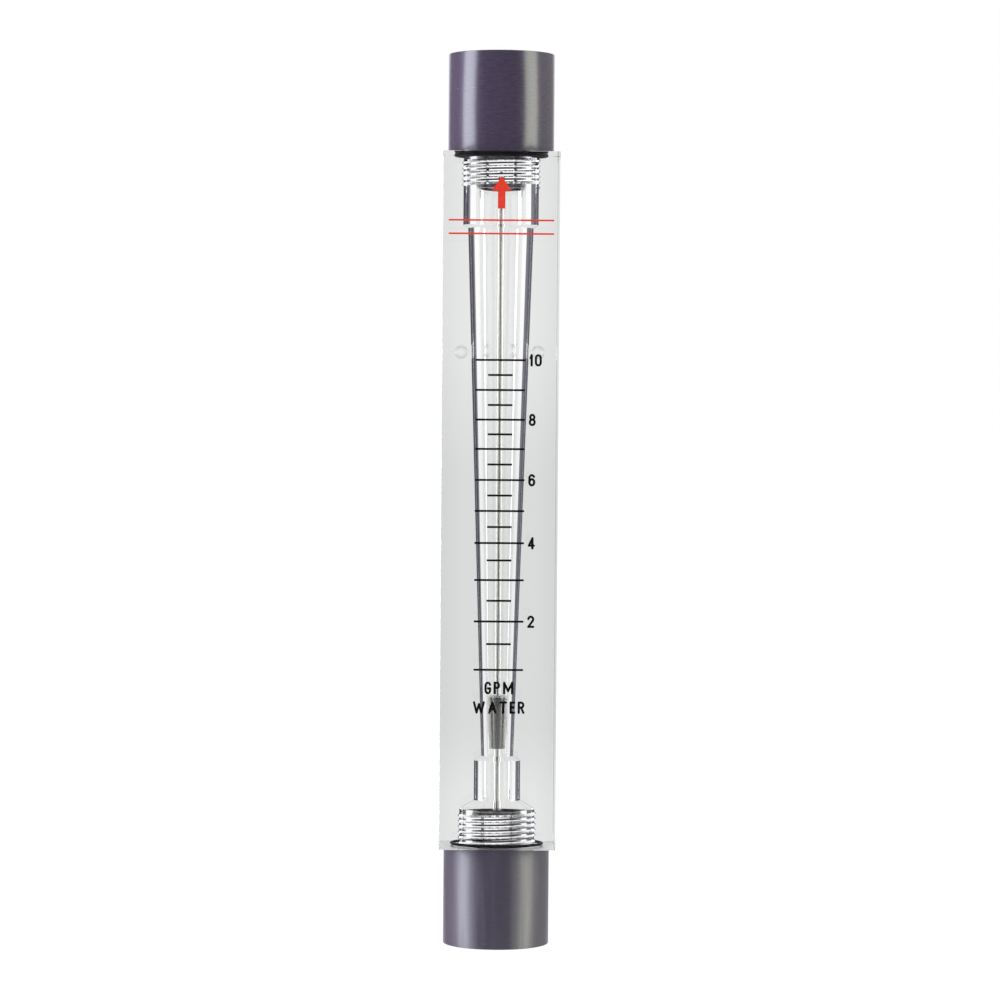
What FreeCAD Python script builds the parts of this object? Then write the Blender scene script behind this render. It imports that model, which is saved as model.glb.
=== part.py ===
"""Clear-block rotameter: a weighted float rides up a guide rod in a tapered bore.

The frame is millimetres, +Z up the bore's axis, the origin at the centre of the lower fitting's end face, and the
printed front of the block towards -Y. Every driving dimension is a cell of the sheet named Sizes.
"""
import FreeCAD, Part
import os
import re
import Sketcher

# Driving dimensions: alias, value and what it is. Lengths are millimetres and angles degrees.
SIZES = [
    ("block_width", 47.625, "clear block, side to side"),
    ("block_depth", 47.625, "clear block, front to back"),
    ("block_height", 285.75, "clear block, end to end"),
    ("block_edge_break", 0.35, "chamfer round the block's edges"),
    ("drill_angle", 118.0, "included angle of the cones that the drills leave"),
    ("port_diameter", 31.0, "thread crests of the ports at the block's ends"),
    ("lower_port_depth", 15.4, "lower port, to the start of its cone"),
    ("upper_port_depth", 29.5, "upper port, to the start of its cone"),
    ("counterbore_diameter", 19.05, "counterbore under the taper"),
    ("counterbore_length", 16.5, "counterbore, between its two cones"),
    ("taper_bottom_diameter", 13.15, "tapered bore at its lower end"),
    ("taper_top_diameter", 26.9, "tapered bore at its upper end"),
    ("ring_section", 1.6, "O-ring, squeezed between its faces"),
    ("ring_diameter", 37.3, "O-ring, middle of its section"),
    ("ring_clearance", 0.05, "round the O-ring in its gland"),
    ("hole_spacing", 31.75, "mounting holes, side to side"),
    ("hole_rise", 204.2, "mounting holes above the block's foot"),
    ("hole_diameter", 5.1, "mounting holes, at their thread crests"),
    ("hole_depth", 12.7, "mounting holes, without the drill's cone"),
    ("fitting_diameter", 43.8, "end fittings, outside"),
    ("fitting_reach", 41.275, "end fittings, outside the block"),
    ("fitting_edge_break", 0.4, "chamfer on the fittings' rims"),
    ("pipe_port_diameter", 29.4, "thread crests of the pipe port"),
    ("pipe_port_depth", 24.0, "pipe port, to the start of its cone"),
    ("pipe_mouth_chamfer", 1.9, "chamfer at the pipe port's mouth"),
    ("passage_diameter", 22.0, "flow passage through a fitting"),
    ("spigot_clearance", 0.05, "between a fitting's spigot and its port"),
    ("spigot_length", 14.5, "fitting's spigot inside the block"),
    ("spigot_tip_chamfer", 0.8, "chamfer on the spigot's tip"),
    ("guide_diameter", 25.2, "rod guide, outside"),
    ("guide_clearance", 0.05, "round the rod guide in its seat"),
    ("guide_thickness", 3.0, "rod guide, along the rod"),
    ("guide_rim", 1.4, "wall of the rod guide's outer ring"),
    ("guide_arm_width", 2.2, "rod guide's arms"),
    ("guide_arms", 3, "number of the rod guide's arms"),
    ("guide_hub_diameter", 8.6, "rod guide's hub"),
    ("snap_ring_thickness", 1.0, "snap ring, along the bore"),
    ("snap_ring_depth", 0.7, "how far the snap ring enters its groove"),
    ("snap_ring_wall", 1.8, "snap ring, across its band"),
    ("snap_ring_gap", 24.0, "opening between the snap ring's ends"),
    ("snap_ring_clearance", 0.05, "round the snap ring in its groove"),
    ("seat_lip", 0.8, "spigot beyond the snap ring"),
    ("rod_diameter", 3.97, "guide rod"),
    ("rod_end_diameter", 3.0, "rod's turned and threaded ends"),
    ("rod_end_length", 8.2, "rod's turned ends, from the guide's face"),
    ("rod_clearance", 0.05, "round the rod in guides, washers and nuts"),
    ("rod_tip_chamfer", 0.4, "chamfer on the rod's tips"),
    ("washer_diameter", 7.4, "washers under the rod's nuts"),
    ("washer_thickness", 0.7, "washers under the rod's nuts"),
    ("nut_flats", 6.4, "rod's nuts, across flats"),
    ("nut_thickness", 2.8, "rod's nuts"),
    ("nut_corner_angle", 30.0, "chamfer on the nuts' corners"),
    ("cushion_diameter", 8.0, "rubber washer that stops the float at the top"),
    ("cushion_thickness", 1.2, "rubber washer that stops the float at the top"),
    ("float_rest_rise", 40.3, "float's lower end above the block's foot, at rest"),
    ("float_height", 21.3, "float"),
    ("float_top_diameter", 12.6, "float, at its sharp upper edge"),
    ("float_bottom_diameter", 10.2, "float, at its lower end"),
    ("float_rim", 0.9, "straight band at the float's upper edge"),
    ("float_clearance", 0.08, "round the rod in the float"),
    ("float_recess_diameter", 6.8, "recess in the float's underside"),
    ("float_recess_depth", 1.3, "recess in the float's underside"),
    ("stop_ring_diameter", 6.0, "retaining ring under the float, outside"),
    ("stop_ring_thickness", 0.6, "retaining ring under the float"),
    ("stop_ring_depth", 0.45, "how far the retaining ring enters the rod"),
    ("stop_ring_gap", 40.0, "opening of the retaining ring"),
    ("stop_ring_clearance", 0.05, "round the retaining ring"),
    ("ink_thickness", 0.06, "printed ink on the block's front"),
    ("line_thickness", 0.62, "scale lines, up and down"),
    ("long_line", 20.4, "scale lines at whole values"),
    ("short_line", 10.2, "scale lines at half values"),
    ("scale_low_value", 1, "lowest value on the scale"),
    ("scale_top_value", 10, "highest value on the scale"),
    ("scale_top_rise", 200.0, "scale's highest line above the block's foot"),
    ("scale_step", 11.83, "rise of a whole value high on the scale"),
    ("scale_droop", 34.34, "how far the scale's low end opens out"),
    ("scale_fade", 1.9, "values over which the low end closes up"),
    ("arrow_drop", 10.25, "flow arrow's tip under the block's head"),
    ("arrow_height", 13.3, "flow arrow, with its head"),
    ("arrow_head_width", 8.0, "flow arrow's head"),
    ("arrow_head_height", 6.0, "flow arrow's head"),
    ("arrow_shaft_width", 3.0, "flow arrow's shaft"),
    ("rule_drop", 28.25, "upper printed rule under the block's head"),
    ("rule_pitch", 5.5, "from the upper printed rule to the lower"),
    ("rule_length", 43.0, "printed rules, side to side"),
    ("rule_thickness", 0.7, "printed rules, up and down"),
]

ALIASES = {alias for alias, _, _ in SIZES}

# Heights in the block's own frame, from its foot.
GLAND_DEPTH = "(ring_section + ring_clearance)"
COUNTERBORE_FOOT = "(lower_port_depth + (port_diameter - counterbore_diameter) / 2 / tan(drill_angle / 2))"
COUNTERBORE_HEAD = f"({COUNTERBORE_FOOT} + counterbore_length)"
TAPER_FOOT = f"({COUNTERBORE_HEAD} + (counterbore_diameter - taper_bottom_diameter) / 2 / tan(drill_angle / 2))"
UPPER_PORT_FOOT = "(block_height - upper_port_depth)"
TAPER_HEAD = f"({UPPER_PORT_FOOT} - (port_diameter - taper_top_diameter) / 2 / tan(drill_angle / 2))"

# Heights in an end fitting's frame, from its outer end towards the middle of the meter.
SPIGOT_TIP = "(fitting_reach + spigot_length)"
GROOVE_INNER = f"({SPIGOT_TIP} - seat_lip)"
GUIDE_FACE = f"({GROOVE_INNER} - snap_ring_thickness - 2 * snap_ring_clearance)"
GUIDE_SEAT = f"({GUIDE_FACE} - guide_thickness)"
ROD_TIP = f"({GUIDE_FACE} - rod_end_length)"
NUT_FACE = f"({GUIDE_SEAT} - washer_thickness - nut_thickness)"

# Heights and lengths in the meter's frame.
TOTAL_HEIGHT = "(block_height + 2 * fitting_reach)"
ROD_LENGTH = f"({TOTAL_HEIGHT} - 2 * {ROD_TIP})"
FLOAT_FOOT = "(fitting_reach + float_rest_rise)"
STOP_RING_FOOT = f"({FLOAT_FOOT} + float_recess_depth - stop_ring_clearance - stop_ring_thickness)"

SEAT_RADIUS = "(guide_diameter / 2 + guide_clearance)"
SNAP_RADIUS = f"({SEAT_RADIUS} + snap_ring_depth)"
STOP_RING_BORE = "(rod_diameter / 2 - stop_ring_depth)"
FRONT = "(-block_depth / 2)"


def bound(text):
    """Expression text with the sheet's name put before each alias."""
    return re.sub(r"[a-z_]+", lambda word: f"Sizes.{word[0]}" if word[0] in ALIASES else word[0], text)


class Model:
    """The parametric document: its sheet and the ways its sub-parts are made."""

    def __init__(self):
        self.doc = FreeCAD.newDocument("Rotameter")
        self.sheet = self.doc.addObject("Spreadsheet::Sheet", "Sizes")
        for row, (alias, value, note) in enumerate(SIZES, start=1):
            self.sheet.set(f"A{row}", alias)
            self.sheet.set(f"B{row}", str(value))
            self.sheet.set(f"C{row}", note)
            self.sheet.setAlias(f"B{row}", alias)
        self.doc.recompute()
        self.parts = []
        self.cuts = []

    def value(self, text):
        """Number that an expression on the sheet's aliases gives."""
        return float(self.sheet.evalExpression(bound(text)))

    def bind(self, thing, **expressions):
        """Bind properties of an object to expressions; a double underscore stands for a dot."""
        for name, text in expressions.items():
            thing.setExpression(name.replace("__", "."), bound(text))

    def keep(self, thing, label):
        """Give a sub-part its name and put it on the list that is written."""
        thing.Label = label
        self.parts.append(thing)
        return thing

    def lift(self, thing, height):
        """Put a sub-part at a height in the meter's frame."""
        self.bind(thing, Placement__Base__z=height)

    def seat(self, thing, height, upper):
        """Put an end piece at a height in its fitting's frame, turned over at the upper end."""
        if upper:
            over = FreeCAD.Rotation(FreeCAD.Vector(1, 0, 0), 180)
            thing.Placement = FreeCAD.Placement(FreeCAD.Vector(0, 0, 0), over)
            self.lift(thing, f"{TOTAL_HEIGHT} - {height}")
        else:
            self.lift(thing, height)

    def body(self, label):
        """New empty body."""
        return self.keep(self.doc.addObject("PartDesign::Body", label), label)

    def sketch(self, body, name, role, offset="0"):
        """Empty sketch on one of its body's own planes, moved along that plane's normal."""
        plane = next(feature for feature in body.Origin.OriginFeatures if feature.Role == role)
        sketch = body.newObject("Sketcher::SketchObject", name)
        sketch.AttachmentSupport = (plane, "")
        sketch.MapMode = "FlatFace"
        self.bind(sketch, AttachmentOffset__Base__z=offset)
        return sketch

    def fix_point(self, sketch, edge, end, corner):
        """Hold one end of an edge at a corner given as two expressions, 0 being on the axis."""
        for kind, axis, text in zip(("DistanceX", "DistanceY"), (-2, -1), corner):
            if text == "0":
                sketch.addConstraint(Sketcher.Constraint("PointOnObject", edge, end, axis))
                continue
            number = sketch.addConstraint(Sketcher.Constraint(kind, -1, 1, edge, end, self.value(text)))
            sketch.setExpression(f"Constraints[{number}]", bound(text))

    def outline(self, sketch, corners):
        """Closed outline of straight edges through corners, each a pair of expressions."""
        points = [FreeCAD.Vector(self.value(x), self.value(y), 0) for x, y in corners]
        for start, end in zip(points, points[1:] + points[:1]):
            sketch.addGeometry(Part.LineSegment(start, end), False)
        for edge, corner in enumerate(corners):
            sketch.addConstraint(Sketcher.Constraint("Coincident", edge - 1 if edge else len(corners) - 1, 2, edge, 1))
            self.fix_point(sketch, edge, 1, corner)

    def circle(self, sketch, radius, centre=("0", "0")):
        """Circle in a sketch, its radius and centre as expressions."""
        middle = FreeCAD.Vector(self.value(centre[0]), self.value(centre[1]), 0)
        edge = sketch.addGeometry(Part.Circle(middle, FreeCAD.Vector(0, 0, 1), self.value(radius)), False)
        number = sketch.addConstraint(Sketcher.Constraint("Radius", edge, self.value(radius)))
        sketch.setExpression(f"Constraints[{number}]", bound(radius))
        self.fix_point(sketch, edge, 3, centre)

    def revolve(self, body, kind, name, corners, angle="360"):
        """Revolution or groove about Z of a half section given as (radius, height) corners."""
        sketch = self.sketch(body, f"{name}_section", "XZ_Plane")
        self.outline(sketch, corners)
        feature = body.newObject(f"PartDesign::{kind}", name)
        feature.Profile = sketch
        feature.ReferenceAxis = (sketch, ["V_Axis"])
        self.bind(feature, Angle=angle)
        return feature

    def turned(self, label, corners, angle="360"):
        """Body that is one turned piece."""
        body = self.body(label)
        self.revolve(body, "Revolution", f"{label}_turning", corners, angle)
        return body

    def ring(self, label, inner, outer, thickness, gap="0"):
        """Flat ring on its lower face, from its radii, with an opening if it is a sprung one."""
        corners = [(inner, "0"), (outer, "0"), (outer, thickness), (inner, thickness)]
        return self.turned(label, corners, f"360 - {gap}")

    def pad(self, body, name, sketch, length):
        """Pad a sketch of a body."""
        pad = body.newObject("PartDesign::Pad", name)
        pad.Profile = sketch
        self.bind(pad, Length=length)
        return pad

    def note_cut(self, before, after):
        """Remember that a feature has to leave less material than the one before it."""
        self.cuts.append((before, after))

    def check(self):
        """Stop if any object failed, a cut removed nothing or a sub-part is not sound."""
        self.doc.recompute()
        failed = [thing.Name for thing in self.doc.Objects if {"Invalid", "Error"} & set(thing.State)]
        failed += [after.Name for before, after in self.cuts if after.Shape.Volume >= before.Shape.Volume]
        failed += [part.Label for part in self.parts if part.Shape.isNull() or not part.Shape.isValid()]
        if failed:
            raise RuntimeError(f"not sound: {failed}")

    def write(self):
        """Write each sub-part to a file of its own name."""
        os.makedirs("parts", exist_ok=True)
        for part in self.parts:
            part.Shape.exportStep(f"parts/{part.Label}.step")
            box = part.Shape.BoundBox
            print(f"{part.Label:18} {len(part.Shape.Solids):3} solids {part.Shape.Volume:10.1f} mm3"
                  f"  z {box.ZMin:8.3f} to {box.ZMax:8.3f}")


def metering_body(model):
    """Clear block with its stepped and tapered bore, O-ring glands and two blind mounting holes."""
    body = model.body("metering_body")
    outline = model.sketch(body, "block_outline", "XY_Plane")
    side, back = "block_width / 2", "block_depth / 2"
    model.outline(outline, [(f"-{side}", f"-{back}"), (side, f"-{back}"), (side, back), (f"-{side}", back)])
    block = model.pad(body, "block", outline, "block_height")
    model.doc.recompute()
    edges = body.newObject("PartDesign::Chamfer", "block_edges")
    edges.Base = (block, [f"Edge{number + 1}" for number in range(len(block.Shape.Edges))])
    model.bind(edges, Size="block_edge_break")
    gland = "(ring_diameter + ring_section) / 2 + ring_clearance"
    port = "port_diameter / 2"
    bore = model.revolve(body, "Groove", "bore", [
        ("0", "0"),
        (gland, "0"),
        (gland, GLAND_DEPTH),
        (port, GLAND_DEPTH),
        (port, "lower_port_depth"),
        ("counterbore_diameter / 2", COUNTERBORE_FOOT),
        ("counterbore_diameter / 2", COUNTERBORE_HEAD),
        ("taper_bottom_diameter / 2", TAPER_FOOT),
        ("taper_top_diameter / 2", TAPER_HEAD),
        (port, UPPER_PORT_FOOT),
        (port, f"block_height - {GLAND_DEPTH}"),
        (gland, f"block_height - {GLAND_DEPTH}"),
        (gland, "block_height"),
        ("0", "block_height"),
    ])
    model.note_cut(edges, bore)
    mounting_holes(model, body, bore)
    model.lift(body, "fitting_reach")


def mounting_holes(model, body, bore):
    """Two blind holes side by side in the block's back, with the drill's cone at their ends."""
    centres = model.sketch(body, "hole_centres", "XZ_Plane", "-block_depth / 2")
    for side in ("-hole_spacing / 2", "hole_spacing / 2"):
        model.circle(centres, "hole_diameter / 2", (side, "hole_rise"))
    model.doc.recompute()
    holes = body.newObject("PartDesign::Hole", "mounting_holes")
    holes.Profile = centres
    holes.DepthType = "Dimension"
    holes.DrillPoint = "Angled"
    holes.Reversed = True
    model.bind(holes, Diameter="hole_diameter", Depth="hole_depth", DrillPointAngle="drill_angle")
    model.note_cut(bore, holes)


def fitting(model, end, upper):
    """End fitting: pipe port outside, shoulder against the block, spigot with the rod guide's seat inside."""
    rim, spigot = "fitting_diameter / 2", "(port_diameter / 2 - spigot_clearance)"
    passage, pipe = "passage_diameter / 2", "pipe_port_diameter / 2"
    groove = f"{SNAP_RADIUS} + snap_ring_clearance"
    pipe_cone = f"pipe_port_depth + ({pipe} - {passage}) / tan(drill_angle / 2)"
    body = model.turned(f"{end}_fitting", [
        (f"{pipe} + pipe_mouth_chamfer", "0"),
        (f"{rim} - fitting_edge_break", "0"),
        (rim, "fitting_edge_break"),
        (rim, "fitting_reach - fitting_edge_break"),
        (f"{rim} - fitting_edge_break", "fitting_reach"),
        (spigot, "fitting_reach"),
        (spigot, f"{SPIGOT_TIP} - spigot_tip_chamfer"),
        (f"{spigot} - spigot_tip_chamfer", SPIGOT_TIP),
        (SEAT_RADIUS, SPIGOT_TIP),
        (SEAT_RADIUS, GROOVE_INNER),
        (groove, GROOVE_INNER),
        (groove, GUIDE_FACE),
        (SEAT_RADIUS, GUIDE_FACE),
        (SEAT_RADIUS, GUIDE_SEAT),
        (passage, GUIDE_SEAT),
        (passage, pipe_cone),
        (pipe, "pipe_port_depth"),
        (pipe, "pipe_mouth_chamfer"),
    ])
    model.seat(body, "0", upper)


def o_ring(model, end, upper):
    """Face seal, squeezed between the fitting's shoulder and the floor of the block's gland."""
    ring = model.keep(model.doc.addObject("Part::Torus", f"{end}_o_ring"), f"{end}_o_ring")
    model.bind(ring, Radius1="ring_diameter / 2", Radius2="ring_section / 2")
    model.seat(ring, "(fitting_reach + (ring_section + ring_clearance) / 2)", upper)


def rod_guide(model, end, upper):
    """Ring with a hub on thin arms, which holds one end of the rod on the axis and lets the flow by."""
    body = model.body(f"{end}_rod_guide")
    outer, inner = "guide_diameter / 2", "(guide_diameter / 2 - guide_rim)"
    rim = [(inner, "0"), (outer, "0"), (outer, "guide_thickness"), (inner, "guide_thickness")]
    model.revolve(body, "Revolution", f"{end}_rim", rim)
    arm_outline = model.sketch(body, f"{end}_arm_outline", "XY_Plane")
    reach, half = f"{inner} + guide_rim / 2", "guide_arm_width / 2"
    model.outline(arm_outline, [("0", f"-{half}"), (reach, f"-{half}"), (reach, half), ("0", half)])
    arm = model.pad(body, f"{end}_arm", arm_outline, "guide_thickness")
    model.doc.recompute()
    arms = body.newObject("PartDesign::PolarPattern", f"{end}_arms")
    arms.Originals = [arm]
    arms.Axis = (arm_outline, ["N_Axis"])
    arms.Angle = 360
    model.bind(arms, Occurrences="guide_arms")
    body.Tip = arms
    hub_outline = model.sketch(body, f"{end}_hub_outline", "XY_Plane")
    model.circle(hub_outline, "guide_hub_diameter / 2")
    hub = model.pad(body, f"{end}_hub", hub_outline, "guide_thickness")
    eye_outline = model.sketch(body, f"{end}_eye_outline", "XY_Plane")
    model.circle(eye_outline, "rod_end_diameter / 2 + rod_clearance")
    eye = body.newObject("PartDesign::Pocket", f"{end}_eye")
    eye.Profile = eye_outline
    eye.Type = "ThroughAll"
    eye.Midplane = True
    model.note_cut(hub, eye)
    model.seat(body, GUIDE_SEAT, upper)


def guide_fasteners(model, end, upper):
    """Snap ring that keeps a rod guide in its seat, and the washer and nut that keep the rod in the guide."""
    snap_ring = model.ring(f"{end}_guide_ring", f"{SNAP_RADIUS} - snap_ring_wall", SNAP_RADIUS,
                           "snap_ring_thickness", "snap_ring_gap")
    model.seat(snap_ring, f"({GUIDE_FACE} + snap_ring_clearance)", upper)
    eye = "rod_end_diameter / 2 + rod_clearance"
    washer = model.ring(f"{end}_rod_washer", eye, "washer_diameter / 2", "washer_thickness")
    model.seat(washer, f"({GUIDE_SEAT} - washer_thickness)", upper)
    rod_nut(model, end, upper, eye)


def rod_nut(model, end, upper, eye):
    """Hexagon nut with the corners of its outer face chamfered."""
    blank = model.doc.addObject("Part::Prism", f"{end}_nut_blank")
    blank.Polygon = 6
    model.bind(blank, Circumradius="nut_flats / 2 / cos(30)", Height="nut_thickness")
    cone = model.doc.addObject("Part::Cone", f"{end}_nut_cone")
    model.bind(cone, Radius1="nut_flats / 2", Height="nut_thickness",
               Radius2="nut_flats / 2 + nut_thickness / tan(nut_corner_angle)")
    chamfered = model.doc.addObject("Part::Common", f"{end}_nut_chamfered")
    chamfered.Base = blank
    chamfered.Tool = cone
    hole = model.doc.addObject("Part::Cylinder", f"{end}_nut_hole")
    model.bind(hole, Radius=eye, Height="nut_thickness")
    nut = model.keep(model.doc.addObject("Part::Cut", f"{end}_rod_nut"), f"{end}_rod_nut")
    nut.Base = chamfered
    nut.Tool = hole
    model.note_cut(chamfered, nut)
    model.seat(nut, NUT_FACE, upper)


def guide_rod(model):
    """Rod between the two guides, with turned ends and the groove of the ring under the float."""
    rod, end = "rod_diameter / 2", "rod_end_diameter / 2"
    groove = f"{STOP_RING_BORE} - stop_ring_clearance"
    groove_foot = f"{STOP_RING_FOOT} - {ROD_TIP} - stop_ring_clearance"
    groove_head = f"{STOP_RING_FOOT} - {ROD_TIP} + stop_ring_thickness + stop_ring_clearance"
    body = model.turned("guide_rod", [
        ("0", "0"),
        (f"{end} - rod_tip_chamfer", "0"),
        (end, "rod_tip_chamfer"),
        (end, "rod_end_length"),
        (rod, "rod_end_length"),
        (rod, groove_foot),
        (groove, groove_foot),
        (groove, groove_head),
        (rod, groove_head),
        (rod, f"{ROD_LENGTH} - rod_end_length"),
        (end, f"{ROD_LENGTH} - rod_end_length"),
        (end, f"{ROD_LENGTH} - rod_tip_chamfer"),
        (f"{end} - rod_tip_chamfer", ROD_LENGTH),
        ("0", ROD_LENGTH),
    ])
    model.lift(body, ROD_TIP)


def float_and_stops(model):
    """Conical float at rest on its ring, that ring in the rod's groove, and the cushion at the top."""
    eye, recess = "rod_diameter / 2 + float_clearance", "float_recess_diameter / 2"
    top = "float_top_diameter / 2"
    cone = model.turned("float", [
        (recess, "0"),
        ("float_bottom_diameter / 2", "0"),
        (top, "float_height - float_rim"),
        (top, "float_height"),
        (eye, "float_height"),
        (eye, "float_recess_depth"),
        (recess, "float_recess_depth"),
    ])
    model.lift(cone, FLOAT_FOOT)
    ring = model.ring("float_stop_ring", STOP_RING_BORE, "stop_ring_diameter / 2", "stop_ring_thickness",
                      "stop_ring_gap")
    model.lift(ring, STOP_RING_FOOT)
    cushion = model.ring("upper_stop_washer", "rod_diameter / 2 + rod_clearance", "cushion_diameter / 2",
                         "cushion_thickness")
    model.seat(cushion, GUIDE_FACE, True)


def printed_bar(model, name, length, thickness, rise):
    """One bar of ink on the block's front, centred on the bore, its middle at a rise above the block's foot."""
    bar = model.doc.addObject("Part::Box", name)
    model.bind(bar, Length=length, Width="ink_thickness", Height=thickness, Placement__Base__x=f"-({length}) / 2",
               Placement__Base__y=f"{FRONT} - ink_thickness",
               Placement__Base__z=f"fitting_reach + {rise} - {thickness} / 2")
    return bar


def scale_marks(model):
    """Scale lines at whole and half values: evenly spaced high up, opening out towards the low end."""
    steps = round(2 * (model.value("scale_top_value") - model.value("scale_low_value")))
    bars = []
    for step in range(steps + 1):
        flow = f"(scale_low_value + {step / 2})"
        rise = (f"(scale_top_rise - scale_step * (scale_top_value - {flow})"
                f" - scale_droop * (exp(-{flow} / scale_fade) - exp(-scale_top_value / scale_fade)))")
        length = "short_line" if step % 2 else "long_line"
        bars.append(printed_bar(model, f"scale_line_{step + 1}", length, "line_thickness", rise))
    scale = model.keep(model.doc.addObject("Part::Compound", "scale_marks"), "scale_marks")
    scale.Links = bars


def flow_mark(model):
    """Plain arrow that shows the flow's direction, over two printed rules."""
    outline = model.doc.addObject("Sketcher::SketchObject", "arrow_outline")
    outline.Placement.Rotation = FreeCAD.Rotation(FreeCAD.Vector(1, 0, 0), 90)
    model.bind(outline, Placement__Base__y=FRONT, Placement__Base__z="fitting_reach")
    head, shaft = "arrow_head_width / 2", "arrow_shaft_width / 2"
    tip = "block_height - arrow_drop"
    shoulder, tail = f"{tip} - arrow_head_height", f"{tip} - arrow_height"
    model.outline(outline, [(f"-{shaft}", tail), (shaft, tail), (shaft, shoulder), (head, shoulder),
                            ("0", tip), (f"-{head}", shoulder), (f"-{shaft}", shoulder)])
    arrow = model.doc.addObject("Part::Extrusion", "arrow")
    arrow.Base = outline
    arrow.DirMode = "Normal"
    arrow.Solid = True
    model.bind(arrow, LengthFwd="ink_thickness")
    upper_rule = printed_bar(model, "upper_rule", "rule_length", "rule_thickness",
                              "(block_height - rule_drop)")
    lower_rule = printed_bar(model, "lower_rule", "rule_length", "rule_thickness",
                              "(block_height - rule_drop - rule_pitch)")
    mark = model.keep(model.doc.addObject("Part::Compound", "flow_mark"), "flow_mark")
    mark.Links = [arrow, upper_rule, lower_rule]


def main():
    """Build the meter from its block outwards and write its sub-parts."""
    model = Model()
    metering_body(model)
    for end, upper in (("lower", False), ("upper", True)):
        fitting(model, end, upper)
        o_ring(model, end, upper)
        rod_guide(model, end, upper)
        guide_fasteners(model, end, upper)
    guide_rod(model)
    float_and_stops(model)
    scale_marks(model)
    flow_mark(model)
    model.check()
    model.write()


main()
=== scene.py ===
"""Looks of a clear-block rotameter: acrylic body, end fittings, float on its rod, and the printed scale.

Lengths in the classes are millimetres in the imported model's frame: +Z up the bore, the origin at the middle
of the lower fitting's end face, and the printed front towards -Y. They become metres where a mesh is made.
"""

import logging
import math
from contextlib import contextmanager
from dataclasses import dataclass, field
from enum import Enum
from typing import Any, Callable, Iterator, Optional, Sequence, Union

import bpy
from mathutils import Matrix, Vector


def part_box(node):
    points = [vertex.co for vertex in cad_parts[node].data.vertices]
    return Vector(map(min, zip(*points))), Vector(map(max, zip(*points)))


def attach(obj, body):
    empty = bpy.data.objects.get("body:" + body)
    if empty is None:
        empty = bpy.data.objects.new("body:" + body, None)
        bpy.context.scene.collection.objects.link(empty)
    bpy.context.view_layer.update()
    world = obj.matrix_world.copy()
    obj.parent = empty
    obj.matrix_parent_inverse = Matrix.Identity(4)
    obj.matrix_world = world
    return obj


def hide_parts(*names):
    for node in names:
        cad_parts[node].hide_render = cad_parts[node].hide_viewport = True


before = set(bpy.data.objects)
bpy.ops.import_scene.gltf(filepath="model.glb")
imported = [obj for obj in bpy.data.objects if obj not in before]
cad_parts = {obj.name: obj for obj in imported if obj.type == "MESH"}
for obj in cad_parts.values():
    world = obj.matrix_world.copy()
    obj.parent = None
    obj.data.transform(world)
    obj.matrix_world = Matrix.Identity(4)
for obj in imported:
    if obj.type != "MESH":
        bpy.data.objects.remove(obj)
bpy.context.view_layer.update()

MM = 0.001
WELD = 1e-6
FULL_TURN = math.tau
DRILL_HALF_ANGLE = math.radians(59.0)

log = logging.getLogger("rotameter")

Point = tuple[float, float]
Colour = tuple[float, float, float]
Light = Union[float, Colour]
Number = Union[float, "Signal"]
Sockets = dict[Union[str, int], Any]
Piece = bpy.types.Object
Material = bpy.types.Material
Socket = bpy.types.NodeSocket


class Slot(Enum):
    """The record's material slots, passed along with the pieces here but not given to them."""

    ACRYLIC = "clear_acrylic"
    PVC = "grey_pvc"
    NITRILE = "black_nitrile"
    STEEL = "stainless"
    BLACK_INK = "black_ink"


class Body(Enum):
    """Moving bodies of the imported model."""

    METER = "root"
    FLOAT = "float"


class End(Enum):
    """The meter's two ends, with the sign of the way from the block's middle to that end."""

    LOWER = -1
    UPPER = 1

    @property
    def word(self) -> str:
        """The end's name as the nodes carry it."""
        return self.name.lower()


# ------------------------------------------------------------------------------------ shader nodes


class Signal:
    """A number socket that takes part in Python arithmetic by adding Math nodes."""

    def __init__(self, sheet: "NodeSheet", socket: Socket) -> None:
        """Wraps a socket.

        Args:
            sheet: The node sheet that the socket is on.
            socket: The output socket.
        """
        self.sheet = sheet
        self.socket = socket

    def _math(self, operation: str, *values: Number, clamp: bool = False) -> "Signal":
        """Adds a Math node.

        Args:
            operation: The node's operation.
            values: Its inputs in order.
            clamp: Whether the result is held between 0 and 1.

        Returns:
            The node's result.
        """
        settings = {"operation": operation, "use_clamp": clamp}
        return self.sheet.add("ShaderNodeMath", settings, dict(enumerate(values))).signal()

    def __add__(self, other: Number) -> "Signal":
        """Sum."""
        return self._math("ADD", self, other)

    __radd__ = __add__

    def __sub__(self, other: Number) -> "Signal":
        """Difference."""
        return self._math("SUBTRACT", self, other)

    def __rsub__(self, other: Number) -> "Signal":
        """Difference, reflected."""
        return self._math("SUBTRACT", other, self)

    def __mul__(self, other: Number) -> "Signal":
        """Product."""
        return self._math("MULTIPLY", self, other)

    __rmul__ = __mul__

    def __truediv__(self, other: Number) -> "Signal":
        """Quotient."""
        return self._math("DIVIDE", self, other)

    def size(self) -> "Signal":
        """The number without its sign."""
        return self._math("ABSOLUTE", self)

    def sine(self) -> "Signal":
        """Sine of the number in radians."""
        return self._math("SINE", self)

    def over(self, level: Number) -> "Signal":
        """1 where the number is above the level, else 0."""
        return self._math("GREATER_THAN", self, level)

    def least(self, other: Number) -> "Signal":
        """The lesser of the two numbers."""
        return self._math("MINIMUM", self, other)

    def bearing(self, other: "Signal") -> "Signal":
        """Angle in radians whose tangent is this number over the other."""
        return self._math("ARCTAN2", self, other)

    def ease(self, low: float, high: float, start: float = 0.0, end: float = 1.0) -> "Signal":
        """Moves smoothly from start to end while the number goes from low to high."""
        settings = {"interpolation_type": "SMOOTHSTEP", "clamp": True}
        sockets = {"Value": self, "From Min": low, "From Max": high, "To Min": start, "To Max": end}
        return self.sheet.add("ShaderNodeMapRange", settings, sockets).signal()


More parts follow.
